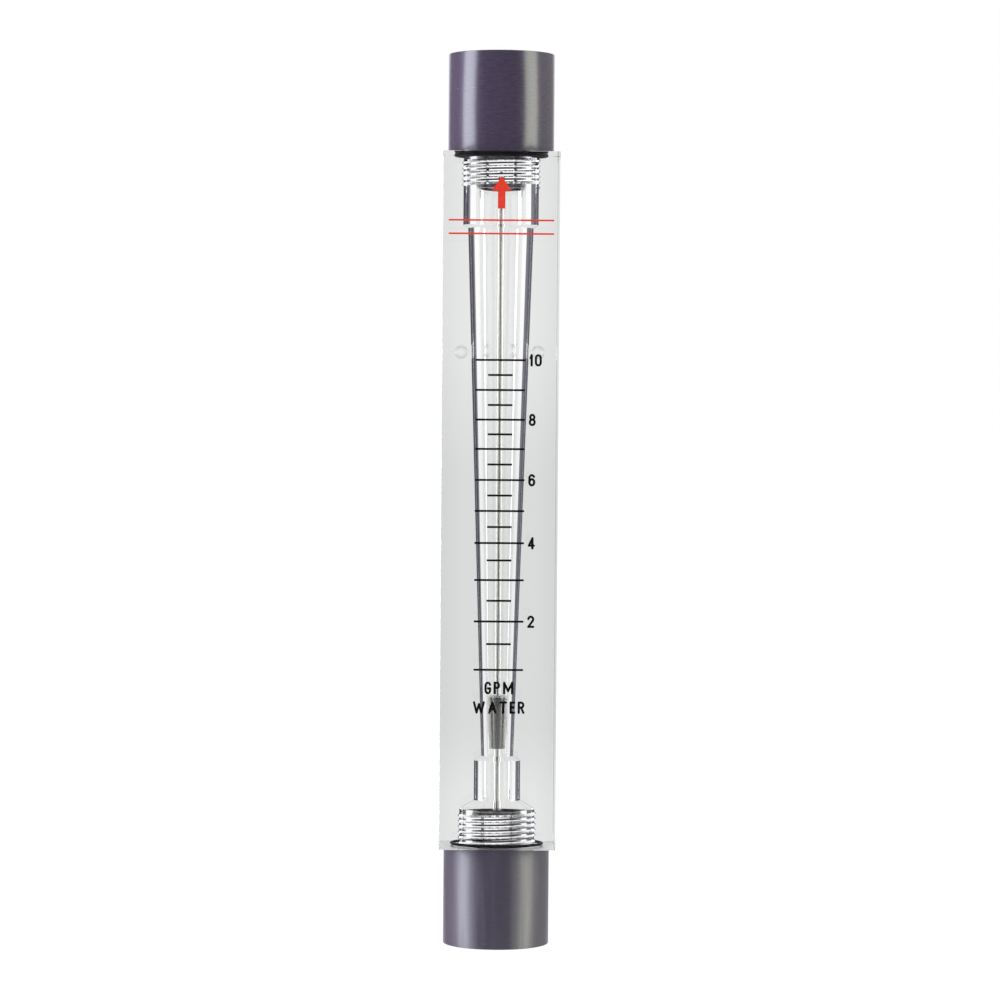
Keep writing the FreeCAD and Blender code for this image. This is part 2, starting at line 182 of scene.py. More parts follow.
class Unit:
    """A node that was added, and ways to its outputs."""

    def __init__(self, sheet: "NodeSheet", node: bpy.types.Node) -> None:
        """Keeps the node with its sheet."""
        self.sheet = sheet
        self.node = node

    def out(self, name: Union[str, int] = 0) -> Socket:
        """An output socket by name or place."""
        return self.node.outputs[name]

    def signal(self, name: Union[str, int] = 0) -> Signal:
        """An output socket that takes part in arithmetic."""
        return Signal(self.sheet, self.node.outputs[name])


class NodeSheet:
    """The node tree of one material or world."""

    def __init__(self, tree: bpy.types.NodeTree) -> None:
        """Empties the tree and keeps it."""
        self.tree = tree
        tree.nodes.clear()

    def add(self, kind: str, settings: Optional[dict[str, Any]] = None,
            sockets: Optional[Sockets] = None) -> Unit:
        """Adds a node, sets it, and then fills its sockets.

        Args:
            kind: The node's type.
            settings: Its properties by name. A ramp's stops are given as "stops".
            sockets: Values, signals or output sockets by input name or place.

        Returns:
            The node.
        """
        node = self.tree.nodes.new(kind)
        for name, value in (settings or {}).items():
            if name == "stops":
                self._set_stops(node.color_ramp, value)
            else:
                setattr(node, name, value)
        for name, value in (sockets or {}).items():
            target = node.inputs[name]
            source = value.socket if isinstance(value, Signal) else value
            if isinstance(source, Socket):
                self.tree.links.new(source, target)
            else:
                target.default_value = source
        return Unit(self, node)

    @staticmethod
    def _set_stops(ramp: bpy.types.ColorRamp, stops: Sequence[tuple[float, Sequence[float]]]) -> None:
        """Gives a ramp its stops, as places and colours from left to right."""
        while len(ramp.elements) > 1:
            ramp.elements.remove(ramp.elements[-1])
        for number, (place, colour) in enumerate(stops):
            stop = ramp.elements[0] if number == 0 else ramp.elements.new(place)
            stop.position = place
            stop.color = (*colour, 1.0)

    def place(self) -> tuple[Signal, Signal, Signal, Socket]:
        """The surface point's coordinates in metres, apart and as a vector."""
        vector = self.add("ShaderNodeTexCoord").out("Object")
        parts = self.add("ShaderNodeSeparateXYZ", None, {"Vector": vector})
        return parts.signal("X"), parts.signal("Y"), parts.signal("Z"), vector

    def join(self, x: Number, y: Number, z: Number) -> Socket:
        """A vector from three numbers."""
        return self.add("ShaderNodeCombineXYZ", None, {"X": x, "Y": y, "Z": z}).out()

    def noise(self, vector: Socket, scale: float, detail: float = 2.0,
              roughness: float = 0.5) -> Signal:
        """Smooth random numbers over space.

        Args:
            vector: Where the noise is read.
            scale: Its grains to a unit of length.
            detail: Octaves of finer grain.
            roughness: How strong the finer grains are.

        Returns:
            Numbers between 0 and 1, mostly near 0.5.
        """
        sockets = {"Vector": vector, "Scale": scale, "Detail": detail, "Roughness": roughness}
        return self.add("ShaderNodeTexNoise", None, sockets).signal()

    def blend(self, way: str, factor: Number, first: Any, second: Any) -> Socket:
        """Puts a second colour over a first in one of the Mix node's ways."""
        settings = {"data_type": "RGBA", "blend_type": way, "clamp_factor": True}
        first, second = (colour if isinstance(colour, Socket) else (*colour, 1.0)
                         for colour in (first, second))
        return self.add("ShaderNodeMix", settings, {0: factor, 6: first, 7: second}).out(2)

    def mix(self, factor: Number, first: Any, second: Any) -> Socket:
        """Goes from a first colour to a second by a factor."""
        return self.blend("MIX", factor, first, second)

    def grey(self, level: Number) -> Socket:
        """A neutral colour of the given level."""
        return self.add("ShaderNodeCombineColor", None, {0: level, 1: level, 2: level}).out()

    def bump(self, height: Signal, swing: float) -> Socket:
        """Surface normals from a height pattern whose full swing is given in millimetres."""
        sockets = {"Height": height, "Distance": swing * MM, "Strength": 1.0}
        return self.add("ShaderNodeBump", None, sockets).out()


# ---------------------------------------------------------------------------------------- finishes


@dataclass(frozen=True)
class Finish:
    """A material of one Principled shader, known by its name."""

    name: str

    def sockets(self, sheet: NodeSheet) -> Sockets:
        """The shader's inputs, for which nodes are added to the sheet."""
        raise NotImplementedError

    def material(self) -> Material:
        """Builds the material.

        Returns:
            A new material with the finish's name and inputs.
        """
        material = bpy.data.materials.new(self.name)
        material.use_nodes = True
        sheet = NodeSheet(material.node_tree)
        shader = sheet.add("ShaderNodeBsdfPrincipled", None, self.sockets(sheet))
        sheet.add("ShaderNodeOutputMaterial", None, {"Surface": shader.out("BSDF")})
        return material


@dataclass(frozen=True)
class PolishedAcrylic(Finish):
    """Flame-polished outer faces of the clear block, with painted shade towards its edges and its middle."""

    name: str = "acrylic_polished"
    # middle and edges are painted shade: darker than the clear ends, through the middle of the block's height
    # and towards its outer edges.
    ends: Colour = (0.992, 1.0, 0.994)
    middle: Colour = (0.868, 0.884, 0.878)
    edges: Colour = (0.93, 0.935, 0.93)
    ior: float = 1.49
    roughness: float = 0.0

    def sockets(self, sheet: NodeSheet) -> Sockets:
        """Clear acrylic whose colour changes slowly over its faces, as painted shade through the middle of
        its height and towards its outer edges, with faint polishing waves.
        """
        x, y, z, vector = sheet.place()
        cloud = sheet.noise(vector, 16.0, 2.0) * 0.3 - 0.15
        upper = z.ease(0.185, 0.262)
        lower = z.ease(0.052, 0.098, 1.0, 0.0)
        # Painted shade through the middle of the height, lighter towards both ends, broken up by a random
        # cloud.
        along = sheet.mix(upper + lower + cloud, self.middle, self.ends)
        # Painted shade towards the outer edges: full from 25 mm off the axis, none within 13 mm.
        off_centre = x.size().least(y.size())
        painted_edge_shade = off_centre.ease(13.0 * MM, 25.0 * MM)
        painted_shade_tint = sheet.blend("MULTIPLY", painted_edge_shade, along, self.edges)
        waves = sheet.noise(vector, 90.0, 1.0)
        return {
            "Base Color": painted_shade_tint,
            "Roughness": self.roughness,
            "IOR": self.ior,
            "Transmission Weight": 1.0,
            "Normal": sheet.bump(waves, 0.004),
        }


@dataclass(frozen=True)
class BoredAcrylic(Finish):
    """Acrylic where a tool has cut it: the reamed bore, its cones, the threads, holes and faced ends."""

    name: str = "acrylic_bored"
    clear: Colour = (1.0, 1.0, 1.0)
    streak: Colour = (0.93, 0.935, 0.935)
    ior: float = 1.49
    roughness: float = 0.012

    def sockets(self, sheet: NodeSheet) -> Sockets:
        """Clear acrylic with faint upright streaks round the bore and fine reamer rings."""
        x, y, z, _ = sheet.place()
        around = x.bearing(y)
        strip = sheet.join(around.sine(), around * 0.45, z * 3.0)
        streaks = sheet.noise(strip, 9.0, 4.0, 0.6).ease(0.42, 0.66)
        rings = sheet.noise(sheet.join(0.0, 0.0, z), 1500.0, 2.0)
        return {
            "Base Color": sheet.mix(streaks, self.clear, self.streak),
            "Roughness": self.roughness,
            "IOR": self.ior,
            "Transmission Weight": 1.0,
            "Normal": sheet.bump(rings, 0.0015),
        }


@dataclass(frozen=True)
class TurnedPvc(Finish):
    """Dark purple-grey PVC turned on a lathe: fine rings, a few scratches and a satin sheen."""

    name: str = "pvc_turned"
    body: Colour = (0.035, 0.026, 0.049)
    grey_body: Colour = (0.040, 0.037, 0.050)
    # This colour is painted light: a lighter, more purple body on the fitting's left, where the light falls.
    painted_lit_left: Colour = (0.047, 0.029, 0.064)
    ring: Colour = (0.058, 0.050, 0.072)
    scratch: Colour = (0.150, 0.140, 0.160)
    roughness: float = 0.23

    def sockets(self, sheet: NodeSheet) -> Sockets:
        """Satin plastic with painted light on its left, which makes it lighter and more purple there, and
        greyer and streaked at the meter's foot.
        """
        x, y, z, vector = sheet.place()
        around = x.bearing(y)
        # Mask of the painted light, full on the fitting's left side.
        side = x.ease(-22.0 * MM, -6.0 * MM, 1.0, 0.0)
        foot = z.ease(60.0 * MM, 90.0 * MM, 1.0, 0.0)
        rings = sheet.noise(sheet.join(around * 0.004, 0.0, z), 1500.0, 4.0, 0.75)
        grain = sheet.noise(vector, 1700.0, 2.0, 0.6)
        cloud = sheet.noise(sheet.join(around * 0.02, 0.0, z), 130.0, 3.0)
        dashes = sheet.noise(sheet.join(around * 0.0045, 0.0, z), 1500.0, 2.0, 0.5).ease(0.70, 0.76)
        marks = dashes * sheet.noise(vector, 90.0, 2.0).ease(0.48, 0.62)
        # Painted light on the left, then greyer towards the foot.
        base = sheet.mix(foot * 0.8, sheet.mix(side, self.body, self.painted_lit_left), self.grey_body)
        upright = sheet.join(around * 0.022, 0.0, z * 0.05)
        streaks = sheet.noise(upright, 300.0, 2.0, 0.6).ease(0.4, 0.65) * foot
        ringed = sheet.mix(rings.ease(0.35, 0.72) * 0.55 + cloud * 0.2 + streaks * 0.2, base, self.ring)
        return {
            "Base Color": sheet.mix(marks * 0.8, ringed, self.scratch),
            "Roughness": (rings * 0.16 + grain * 0.10 + (self.roughness - 0.13) + marks * 0.15 + foot * 0.10
                          + streaks * 0.09),
            "IOR": 1.54,
            "Normal": sheet.bump(grain + rings * 0.5 + marks * 0.5, 0.0045),
        }


@dataclass(frozen=True)
class BlackNitrile(Finish):
    """Moulded black rubber, matt with a faint bloom."""

    name: str = "nitrile_black"
    body: Colour = (0.005, 0.003, 0.005)
    bloom: Colour = (0.014, 0.011, 0.014)

    def sockets(self, sheet: NodeSheet) -> Sockets:
        """Black rubber with a fine grain."""
        vector = sheet.place()[3]
        grain = sheet.noise(vector, 4200.0, 2.0)
        bloom = sheet.noise(vector, 260.0, 3.0).ease(0.4, 0.7)
        return {
            "Base Color": sheet.mix(bloom, self.body, self.bloom),
            "Roughness": grain * 0.2 + 0.42,
            "IOR": 1.52,
            "Specular IOR Level": 0.12,
            "Normal": sheet.bump(grain, 0.004),
        }


class ToolWay(Enum):
    """Which way a tool's marks run on a metal piece."""

    ROUND = "round"
    ALONG = "along"


@dataclass(frozen=True)
class Stainless(Finish):
    """Machined stainless steel with its tool marks round the axis or along it."""

    way: ToolWay
    body: Colour = (0.56, 0.55, 0.53)
    shade: Colour = (0.40, 0.39, 0.375)
    roughness: float = 0.24
    marks_per_metre: float = 5200.0

    def sockets(self, sheet: NodeSheet) -> Sockets:
        """Steel with fine tool marks and slightly uneven gloss."""
        x, y, z, vector = sheet.place()
        around = x.bearing(y)
        if self.way is ToolWay.ROUND:
            lines = sheet.join(around * 0.0004, 0.0, z)
        else:
            lines = sheet.join(around * 0.004, 0.0, z * 0.02)
        marks = sheet.noise(lines, self.marks_per_metre, 3.0, 0.65)
        cloud = sheet.noise(vector, 420.0, 2.0)
        return {
            "Base Color": sheet.mix(marks * 0.6 + cloud * 0.3, self.body, self.shade),
            "Metallic": 1.0,
            "Roughness": marks * 0.18 + (self.roughness - 0.09),
            "Normal": sheet.bump(marks, 0.003),
        }


@dataclass(frozen=True)
class ScreenInk(Finish):
    """Screen-printed ink: an even film with a slight mesh texture and soft gloss."""

    body: Colour
    thin: Colour
    threads: float = FULL_TURN * 4300.0

    def sockets(self, sheet: NodeSheet) -> Sockets:
        """Ink whose film is a little uneven."""
        x, _, z, vector = sheet.place()
        mesh = (x * self.threads).sine() * (z * self.threads).sine()
        film = sheet.noise(vector, 900.0, 3.0)
        return {
            "Base Color": sheet.mix(film.ease(0.35, 0.7), self.body, self.thin),
            "Roughness": film * 0.2 + 0.32,
            "IOR": 1.5,
            "Specular IOR Level": 0.12,
            "Normal": sheet.bump(mesh * 0.5 + film, 0.003),
        }


@dataclass(frozen=True)
class PaleFloor(Finish):
    """Plain pale studio floor that meets an equally pale background."""

    name: str = "studio_floor"
    glow: float = 0.945
    body: float = 0.10

    def sockets(self, sheet: NodeSheet) -> Sockets:
        """A matt floor that is nearly as light as the background."""
        grain = sheet.noise(sheet.place()[3], 6.0, 2.0)
        return {
            "Base Color": sheet.grey(grain * 0.01 + (self.body - 0.005)),
            "Roughness": 0.9,
            "Specular IOR Level": 0.0,
            "Emission Color": sheet.grey(grain * 0.004 + (self.glow - 0.002)),
            "Emission Strength": 1.0,
        }


@dataclass(frozen=True)
class Finishes:
    """Every material of the meter, made once and in this order."""

    polished: Material = field(default_factory=PolishedAcrylic().material)
    bored: Material = field(default_factory=BoredAcrylic().material)
    drilled: Material = field(
        default_factory=BoredAcrylic("acrylic_drilled", ior=1.16, roughness=0.3).material)
    faced: Material = field(default_factory=BoredAcrylic("acrylic_faced", roughness=0.45).material)
    flush: Material = field(
        default_factory=BoredAcrylic("acrylic_flush", ior=1.004, roughness=0.02).material)
    tapped: Material = field(
        default_factory=BoredAcrylic("acrylic_tapped", ior=1.68, roughness=0.06).material)
    pvc: Material = field(default_factory=TurnedPvc().material)
    nitrile: Material = field(default_factory=BlackNitrile().material)
    # The float's steel gets about half the base colour of the other steel: painted shade standing in for a
    # dark reflection.
    float_steel_painted_dark: Material = field(
        default_factory=Stainless("steel_float_painted_dark", ToolWay.ROUND, body=(0.29, 0.285, 0.275),
                                  shade=(0.22, 0.215, 0.205), roughness=0.22).material)
    # The rod's steel gets a lighter base colour than the other steel: painted light standing in for a bright
    # reflection.
    rod_steel_painted_bright: Material = field(
        default_factory=Stainless("steel_rod_painted_bright", ToolWay.ALONG, body=(0.76, 0.75, 0.73),
                                  shade=(0.62, 0.61, 0.59), roughness=0.18).material)
    hardware_steel: Material = field(
        default_factory=Stainless("steel_hardware", ToolWay.ROUND, roughness=0.26,
                                  marks_per_metre=3000.0).material)
    black_ink: Material = field(
        default_factory=ScreenInk("ink_black", (0.0016, 0.0016, 0.0019), (0.0034, 0.0034, 0.0038)).material)
    red_ink: Material = field(
        default_factory=ScreenInk("ink_red", (0.52, 0.030, 0.012), (0.56, 0.045, 0.022)).material)


# --------------------------------------------------------------------------------------- the bench


def drop_selection() -> None:
    """Leaves edit mode and deselects every object."""
    if bpy.context.object is not None and bpy.context.object.mode != "OBJECT":
        bpy.ops.object.mode_set(mode="OBJECT")
    bpy.ops.object.select_all(action="DESELECT")


def pick_up(piece: Piece) -> None:
    """Selects one object alone and makes it the active one."""
    drop_selection()
    piece.select_set(True)
    bpy.context.view_layer.objects.active = piece


def settle() -> None:
    """Works the active object's place, turn and scale into its mesh."""
    bpy.ops.object.transform_apply(location=True, rotation=True, scale=True)


@contextmanager
def editing() -> Iterator[None]:
    """Edit mode on the active object, with all of it selected."""
    bpy.ops.object.mode_set(mode="EDIT")
    bpy.ops.mesh.select_all(action="SELECT")
    yield
    bpy.ops.object.mode_set(mode="OBJECT")


def add_piece(name: str, operator: Callable[..., set[str]], **settings: Any) -> Piece:
    """Adds one of Blender's own objects.

    Args:
        name: The new object's name.
        operator: The operator that adds it.
        settings: The operator's properties.

    Returns:
        The object, active and alone in the selection.
    """
    drop_selection()
    operator(**settings)
    piece = bpy.context.object
    piece.name = name
    return piece


def apply_modifier(piece: Piece, kind: str, **settings: Any) -> None:
    """Adds a modifier to a piece, sets it and applies it.

    Args:
        piece: The object.
        kind: The modifier's type.
        settings: The modifier's properties.
    """
    pick_up(piece)
    modifier = piece.modifiers.new(kind.lower(), kind)
    for name, value in settings.items():
        setattr(modifier, name, value)
    bpy.ops.object.modifier_apply(modifier=modifier.name)


def chain_of_points(name: str, outline: Sequence[Point], closed: bool) -> Piece:
    """Draws an outline in the upright plane through the axis by extruding one point from place to place.

    Args:
        name: The new object's name.
        outline: Radius and height of each corner in millimetres.
        closed: Whether the last corner is joined to the first.

    Returns:
        The object, in edit mode with all selected.
    """
    piece = add_piece(name, bpy.ops.mesh.primitive_plane_add, size=MM)
    bpy.ops.object.mode_set(mode="EDIT")
    bpy.ops.mesh.merge(type="CENTER")
    radius, height = outline[0]
    bpy.ops.transform.translate(value=(radius * MM, 0.0, height * MM))
    for next_radius, next_height in [*outline[1:], *(outline[:1] if closed else [])]:
        step = ((next_radius - radius) * MM, 0.0, (next_height - height) * MM)
        bpy.ops.mesh.extrude_vertices_move(TRANSFORM_OT_translate={"value": step})
        radius, height = next_radius, next_height
    bpy.ops.mesh.select_all(action="SELECT")
    bpy.ops.mesh.remove_doubles(threshold=WELD)
    return piece


def face_outwards() -> None:
    """Welds doubles and points every face outwards, in edit mode."""
    bpy.ops.mesh.select_all(action="SELECT")
    bpy.ops.mesh.remove_doubles(threshold=WELD)
    bpy.ops.mesh.normals_make_consistent(inside=False)


def turned(name: str, outline: Sequence[Point], facets: int, closed: bool = True) -> Piece:
    """Turns an outline about the upright axis.

    Args:
        name: The new object's name.
        outline: Radius and height of each corner in millimetres.
        facets: Number of flats round the axis.
        closed: Whether the outline is a ring. An open one starts and ends on the axis.

    Returns:
        The turned object in object mode.
    """
    piece = chain_of_points(name, outline, closed)
    bpy.ops.mesh.spin(steps=facets, angle=FULL_TURN, center=(0.0, 0.0, 0.0), axis=(0.0, 0.0, 1.0))
    face_outwards()
    bpy.ops.object.mode_set(mode="OBJECT")
    return piece


def turn_over(piece: Piece, middle_height: float) -> None:
    """Turns a piece upside down about a level line through the axis.

    Args:
        piece: The object.
        middle_height: Height of that line in millimetres.
    """
    pick_up(piece)
    piece.rotation_euler = (math.pi, 0.0, 0.0)
    piece.location = (0.0, 0.0, 2.0 * middle_height * MM)
    settle()


def combine(piece: Piece, tool: Piece, operation: str) -> None:
    """Cuts a tool from a piece or fuses it on, and throws the tool away.

    Args:
        piece: The object that stays.
        tool: The object that is used up.
        operation: DIFFERENCE, UNION or INTERSECT.
    """
    apply_modifier(piece, "BOOLEAN", object=tool, operation=operation, solver="EXACT",
                   material_mode="TRANSFER")
    spent = tool.data
    bpy.data.objects.remove(tool)
    bpy.data.meshes.remove(spent)


@dataclass(frozen=True)
class ThreadForm:
    """A symmetrical thread ridge and the helix that it follows."""

    pitch: float
    base_radius: float
    crest_radius: float
    base_half: float
    crest_half: float
    sink: float = 0.12
    facets: int = 96

    def coil(self, name: str, start: float, turns: int) -> Piece:
        """Winds the ridge into a closed right-hand coil.

        Args:
            name: The new object's name.
            start: Height of the ridge's middle on the +X side in millimetres, where the coil begins.
            turns: Whole turns.

        Returns:
            The coil as a closed mesh in object mode.
        """
        slope = (self.base_half - self.crest_half) / (self.crest_radius - self.base_radius)
        inner, inner_half = self.base_radius - self.sink, self.base_half + self.sink * slope
        outline = [
            (inner, start - inner_half),
            (self.crest_radius, start - self.crest_half),
            (self.crest_radius, start + self.crest_half),
            (inner, start + inner_half),
        ]
        piece = chain_of_points(name, outline, True)
        bpy.ops.object.mode_set(mode="OBJECT")
        apply_modifier(piece, "SCREW", axis="Z", angle=FULL_TURN, screw_offset=self.pitch * MM,
                       iterations=turns, steps=self.facets, render_steps=self.facets,
                       use_merge_vertices=True, merge_threshold=WELD)
        with editing():
            bpy.ops.mesh.fill_holes(sides=len(outline))
            face_outwards()
        return piece


def dress(piece: Piece, material: Material) -> None:
    """Gives a piece one material and nothing else."""
    piece.data.materials.clear()
    piece.data.materials.append(material)


def dress_two(piece: Piece, most: Material, some: Material, chosen: Callable[[float], bool]) -> None:
    """Gives a piece two materials by the way its faces look.

    Args:
        piece: The object.
        most: What its faces get.
        some: What the chosen ones get.
        chosen: Whether a face is one of these, by the upward part of its normal.
    """
    dress(piece, most)
    piece.data.materials.append(some)
    for face in piece.data.polygons:
        face.material_index = int(chosen(face.normal.z))


def hand_over(piece: Piece, slot: Slot, *nodes: str, material: Optional[Material] = None,
              sharp_angle: float = 28.0, body: Body = Body.METER) -> Piece:
    """Finishes a piece, hangs it on its body, hides the CAD nodes it stands for, and logs it.

    Args:
        piece: The object.
        slot: The record's material slot; not used.
        nodes: CAD nodes that it replaces.
        material: What it is dressed in, unless it has its materials.
        sharp_angle: Angle in degrees above which its edges aren't shaded smooth.
        body: The body it moves with.

    Returns:
        The same object.
    """
    if material is not None:
        dress(piece, material)
    pick_up(piece)
    bpy.ops.object.shade_smooth_by_angle(angle=math.radians(sharp_angle))
    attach(piece, body.value)
    if nodes:
        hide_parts(*nodes)
    log.info("%-22s rides on %-5s  %6d faces", piece.name, body.value, len(piece.data.polygons))
    return piece


def cone_length(wide: float, narrow: float) -> float:
    """Length of the drill's cone between two radii."""
    return (wide - narrow) / math.tan(DRILL_HALF_ANGLE)


# -------------------------------------------------------------------------------------- the object


@dataclass
class ClearBlock:
    """Square acrylic body with its stepped and tapered bore, threaded ports and blind mounting holes."""

    finishes: Finishes
    side: float = 47.625
    foot: float = 41.275
    height: float = 285.75
    edge_break: float = 0.1
    ink_gap: float = 0.01
    end_gap: float = 0.015
    port_radius: float = 15.5
    lower_port_depth: float = 15.4
    upper_port_depth: float = 29.5
    counterbore_radius: float = 9.525
    counterbore_length: float = 16.5
    taper_bottom_radius: float = 6.575
    taper_top_radius: float = 13.45
    facets: int = 256
    hole_spacing: float = 31.75
    hole_rise: float = 204.2
    hole_radius: float = 2.55
    hole_depth: float = 12.7
    hole_chamfer: float = 0.55
    hole_pitch: float = 1.27
    hole_thread_depth: float = 0.5
    hole_thread_start: float = 0.17
    hole_thread_turns: int = 8

    @property
    def head(self) -> float:
        """Height of the block's upper end."""
        return self.foot + self.height

    def bore_outline(self) -> list[Point]:
        """Outline of the air in the bore, from under the block to above it, open at the axis.

        The glands aren't cut, because the rings fill them and the acrylic wets the rubber.
        """
        over = 3.0
        lower_port = self.foot + self.lower_port_depth
        counterbore_foot = lower_port + cone_length(self.port_radius, self.counterbore_radius)
        counterbore_head = counterbore_foot + self.counterbore_length
        taper_foot = counterbore_head + cone_length(self.counterbore_radius, self.taper_bottom_radius)
        upper_port = self.head - self.upper_port_depth
        taper_head = upper_port - cone_length(self.port_radius, self.taper_top_radius)
        return [
            (0.0, self.foot - over),
            (self.port_radius, self.foot - over),
            (self.port_radius, lower_port),
            (self.counterbore_radius, counterbore_foot),
            (self.counterbore_radius, counterbore_head),
            (self.taper_bottom_radius, taper_foot),
            (self.taper_top_radius, taper_head),
            (self.port_radius, upper_port),
            (self.port_radius, self.head + over),
            (0.0, self.head + over),
        ]

    def blank(self) -> Piece:
        """The square bar, its front a hair behind the ink and its ends a hair off the fittings.

        Returns:
            The bar with its edges broken and its lower end faced off.
        """
        piece = add_piece("clear_block", bpy.ops.mesh.primitive_cube_add, size=1.0,
                          location=(0.0, self.ink_gap / 2.0 * MM, (self.foot + self.height / 2.0) * MM))
        piece.scale = (self.side * MM, (self.side - self.ink_gap) * MM,
                       (self.height - 2.0 * self.end_gap) * MM)
        settle()
        with editing():
            bpy.ops.mesh.bevel(offset=self.edge_break * MM, segments=1, affect="EDGES")
        dress_two(piece, self.finishes.polished, self.finishes.faced, lambda rise: rise < -0.9)
        return piece

    def bore_tool(self) -> Piece:
        """The bore's air as a solid. Its cones bend light hardly at all, and so hardly show."""
        tool = turned("bore_tool", self.bore_outline(), self.facets, closed=False)
        dress_two(tool, self.finishes.bored, self.finishes.flush, lambda rise: 0.4 < abs(rise) < 0.95)
        return tool

    def mounting_holes(self) -> list[Piece]:
        """Tools for the two blind threaded holes in the back.

        Returns:
            Both drills and then both threads' coils, in place.
        """
        over = 1.0
        outline = [
            (0.0, -over),
            (self.hole_radius + self.hole_chamfer, -over),
            (self.hole_radius + self.hole_chamfer, 0.0),
            (self.hole_radius, self.hole_chamfer),
            (self.hole_radius, self.hole_depth),
            (0.0, self.hole_depth + cone_length(self.hole_radius, 0.0)),
        ]
        form = ThreadForm(self.hole_pitch, self.hole_radius, self.hole_radius + self.hole_thread_depth,
                          base_half=0.50, crest_half=0.05, sink=0.09, facets=61)
        tools = []
        for make in (lambda: turned("hole_drill", outline, 96, closed=False),
                     lambda: form.coil("hole_thread", self.hole_thread_start, self.hole_thread_turns)):
            for side in (-1.0, 1.0):
                tool = make()
                dress(tool, self.finishes.drilled)
                pick_up(tool)
                tool.rotation_euler = (math.pi / 2.0, 0.0, 0.0)
                tool.location = (side * self.hole_spacing / 2.0 * MM, self.side / 2.0 * MM,
                                 (self.foot + self.hole_rise) * MM)
                settle()
                tools.append(tool)
        return tools

    def build(self) -> Piece:
        """Cuts the bore, the port threads and the mounting holes from the bar.

        Returns:
            The finished block.
        """
        piece = self.blank()
        tools = self.mounting_holes()
        tools.append(self.bore_tool())
        for end in End:
            groove = PortThread().groove(end)
            dress(groove, self.finishes.tapped)
            tools.append(groove)
        for tool in tools:
            combine(piece, tool, "DIFFERENCE")
        pick_up(piece)
        with editing():
            bpy.ops.mesh.remove_doubles(threshold=WELD / 10.0)
        return hand_over(piece, Slot.ACRYLIC, "metering_body", sharp_angle=22.0)


@dataclass
class PortThread:
    """Thread that holds a fitting in the block: the groove in the port and the low ridge on the spigot."""

    pitch: float = 2.26
    groove_foot: float = 15.5
    groove_depth: float = 0.66
    land: float = 0.75
    flank_half_angle: float = 48.5
    ridge_foot: float = 15.45
    ridge_depth: float = 0.28
    ridge_half: float = 0.62
    ridge_slope: float = 0.2
    lower_start: float = 41.24
    upper_start: float = 313.0
    turns: int = 5
    lower_groove_turns: int = 6
    facets: int = 101

    def start(self, end: End) -> float:
        """Height of the coil's beginning at one end."""
        return self.lower_start if end is End.LOWER else self.upper_start

    def groove(self, end: End) -> Piece:
        """The tool that cuts the port's thread at one end."""
        half = (self.pitch - self.land) / 2.0
        crest_half = half - self.groove_depth * math.tan(math.radians(self.flank_half_angle))
        form = ThreadForm(self.pitch, self.groove_foot, self.groove_foot + self.groove_depth, half,
                          crest_half, facets=self.facets)
        turns = self.lower_groove_turns if end is End.LOWER else self.turns
        return form.coil(f"{end.word}_port_thread", self.start(end), turns)

    def ridge(self, end: End) -> Piece:
        """The ridge on a fitting's spigot at one end, its crest cut well back from the groove's root."""
        form = ThreadForm(self.pitch, self.ridge_foot, self.ridge_foot + self.ridge_depth, self.ridge_half,
                          self.ridge_half - self.ridge_slope, facets=self.facets)
        return form.coil(f"{end.word}_spigot_thread", self.start(end), self.turns)


@dataclass
class EndFitting:
    """PVC end fitting: pipe port outside, shoulder on the block, threaded spigot with the guide's seat."""

    finishes: Finishes
    end: End
    total_height: float = 368.3
    rim_radius: float = 21.9
    reach: float = 41.275
    edge_break: float = 0.4
    spigot_radius: float = 15.45
    spigot_tip: float = 55.775
    tip_chamfer: float = 0.8
    seat_radius: float = 12.65
    seat_foot: float = 50.875
    groove_radius: float = 13.35
    groove_foot: float = 53.875
    groove_head: float = 54.975
    passage_radius: float = 11.0
    pipe_radius: float = 14.7
    pipe_depth: float = 24.0
    mouth_chamfer: float = 1.9
    pipe_pitch: float = 2.209
    pipe_thread_depth: float = 0.95
    pipe_thread_start: float = 0.6
    pipe_thread_turns: int = 9
    facets: int = 192

    def outline(self) -> list[Point]:
        """The fitting's outline with its outer end at height zero."""
        cone = cone_length(self.pipe_radius, self.passage_radius)
        eased = self.edge_break * 0.3
        return [
            (self.pipe_radius + self.mouth_chamfer, 0.0),
            (self.rim_radius - self.edge_break, 0.0),
            (self.rim_radius - eased, eased),
            (self.rim_radius, self.edge_break),
            (self.rim_radius, self.reach - self.edge_break),
            (self.rim_radius - eased, self.reach - eased),
            (self.rim_radius - self.edge_break, self.reach),
            (self.spigot_radius, self.reach),
            (self.spigot_radius, self.spigot_tip - self.tip_chamfer),
            (self.spigot_radius - self.tip_chamfer, self.spigot_tip),
            (self.seat_radius, self.spigot_tip),
            (self.seat_radius, self.groove_head),
            (self.groove_radius, self.groove_head),
            (self.groove_radius, self.groove_foot),
            (self.seat_radius, self.groove_foot),
            (self.seat_radius, self.seat_foot),
            (self.passage_radius, self.seat_foot),
            (self.passage_radius, self.pipe_depth + cone),
            (self.pipe_radius, self.pipe_depth),
            (self.pipe_radius, self.mouth_chamfer),
        ]

    def build(self) -> Piece:
        """Turns the fitting, cuts its pipe thread and winds the ridge on its spigot.

        Returns:
            The finished fitting.
        """
        name = f"{self.end.word}_fitting"
        piece = turned(f"{name}_turned", self.outline(), self.facets)
        pipe = ThreadForm(self.pipe_pitch, self.pipe_radius, self.pipe_radius + self.pipe_thread_depth,
                          base_half=0.97, crest_half=0.08, facets=83)
        groove = pipe.coil("pipe_thread", self.pipe_thread_start, self.pipe_thread_turns)
        combine(piece, groove, "DIFFERENCE")
        if self.end is End.UPPER:
            turn_over(piece, self.total_height / 2.0)
        combine(piece, PortThread().ridge(self.end), "UNION")
        return hand_over(piece, Slot.PVC, name, material=self.finishes.pvc)


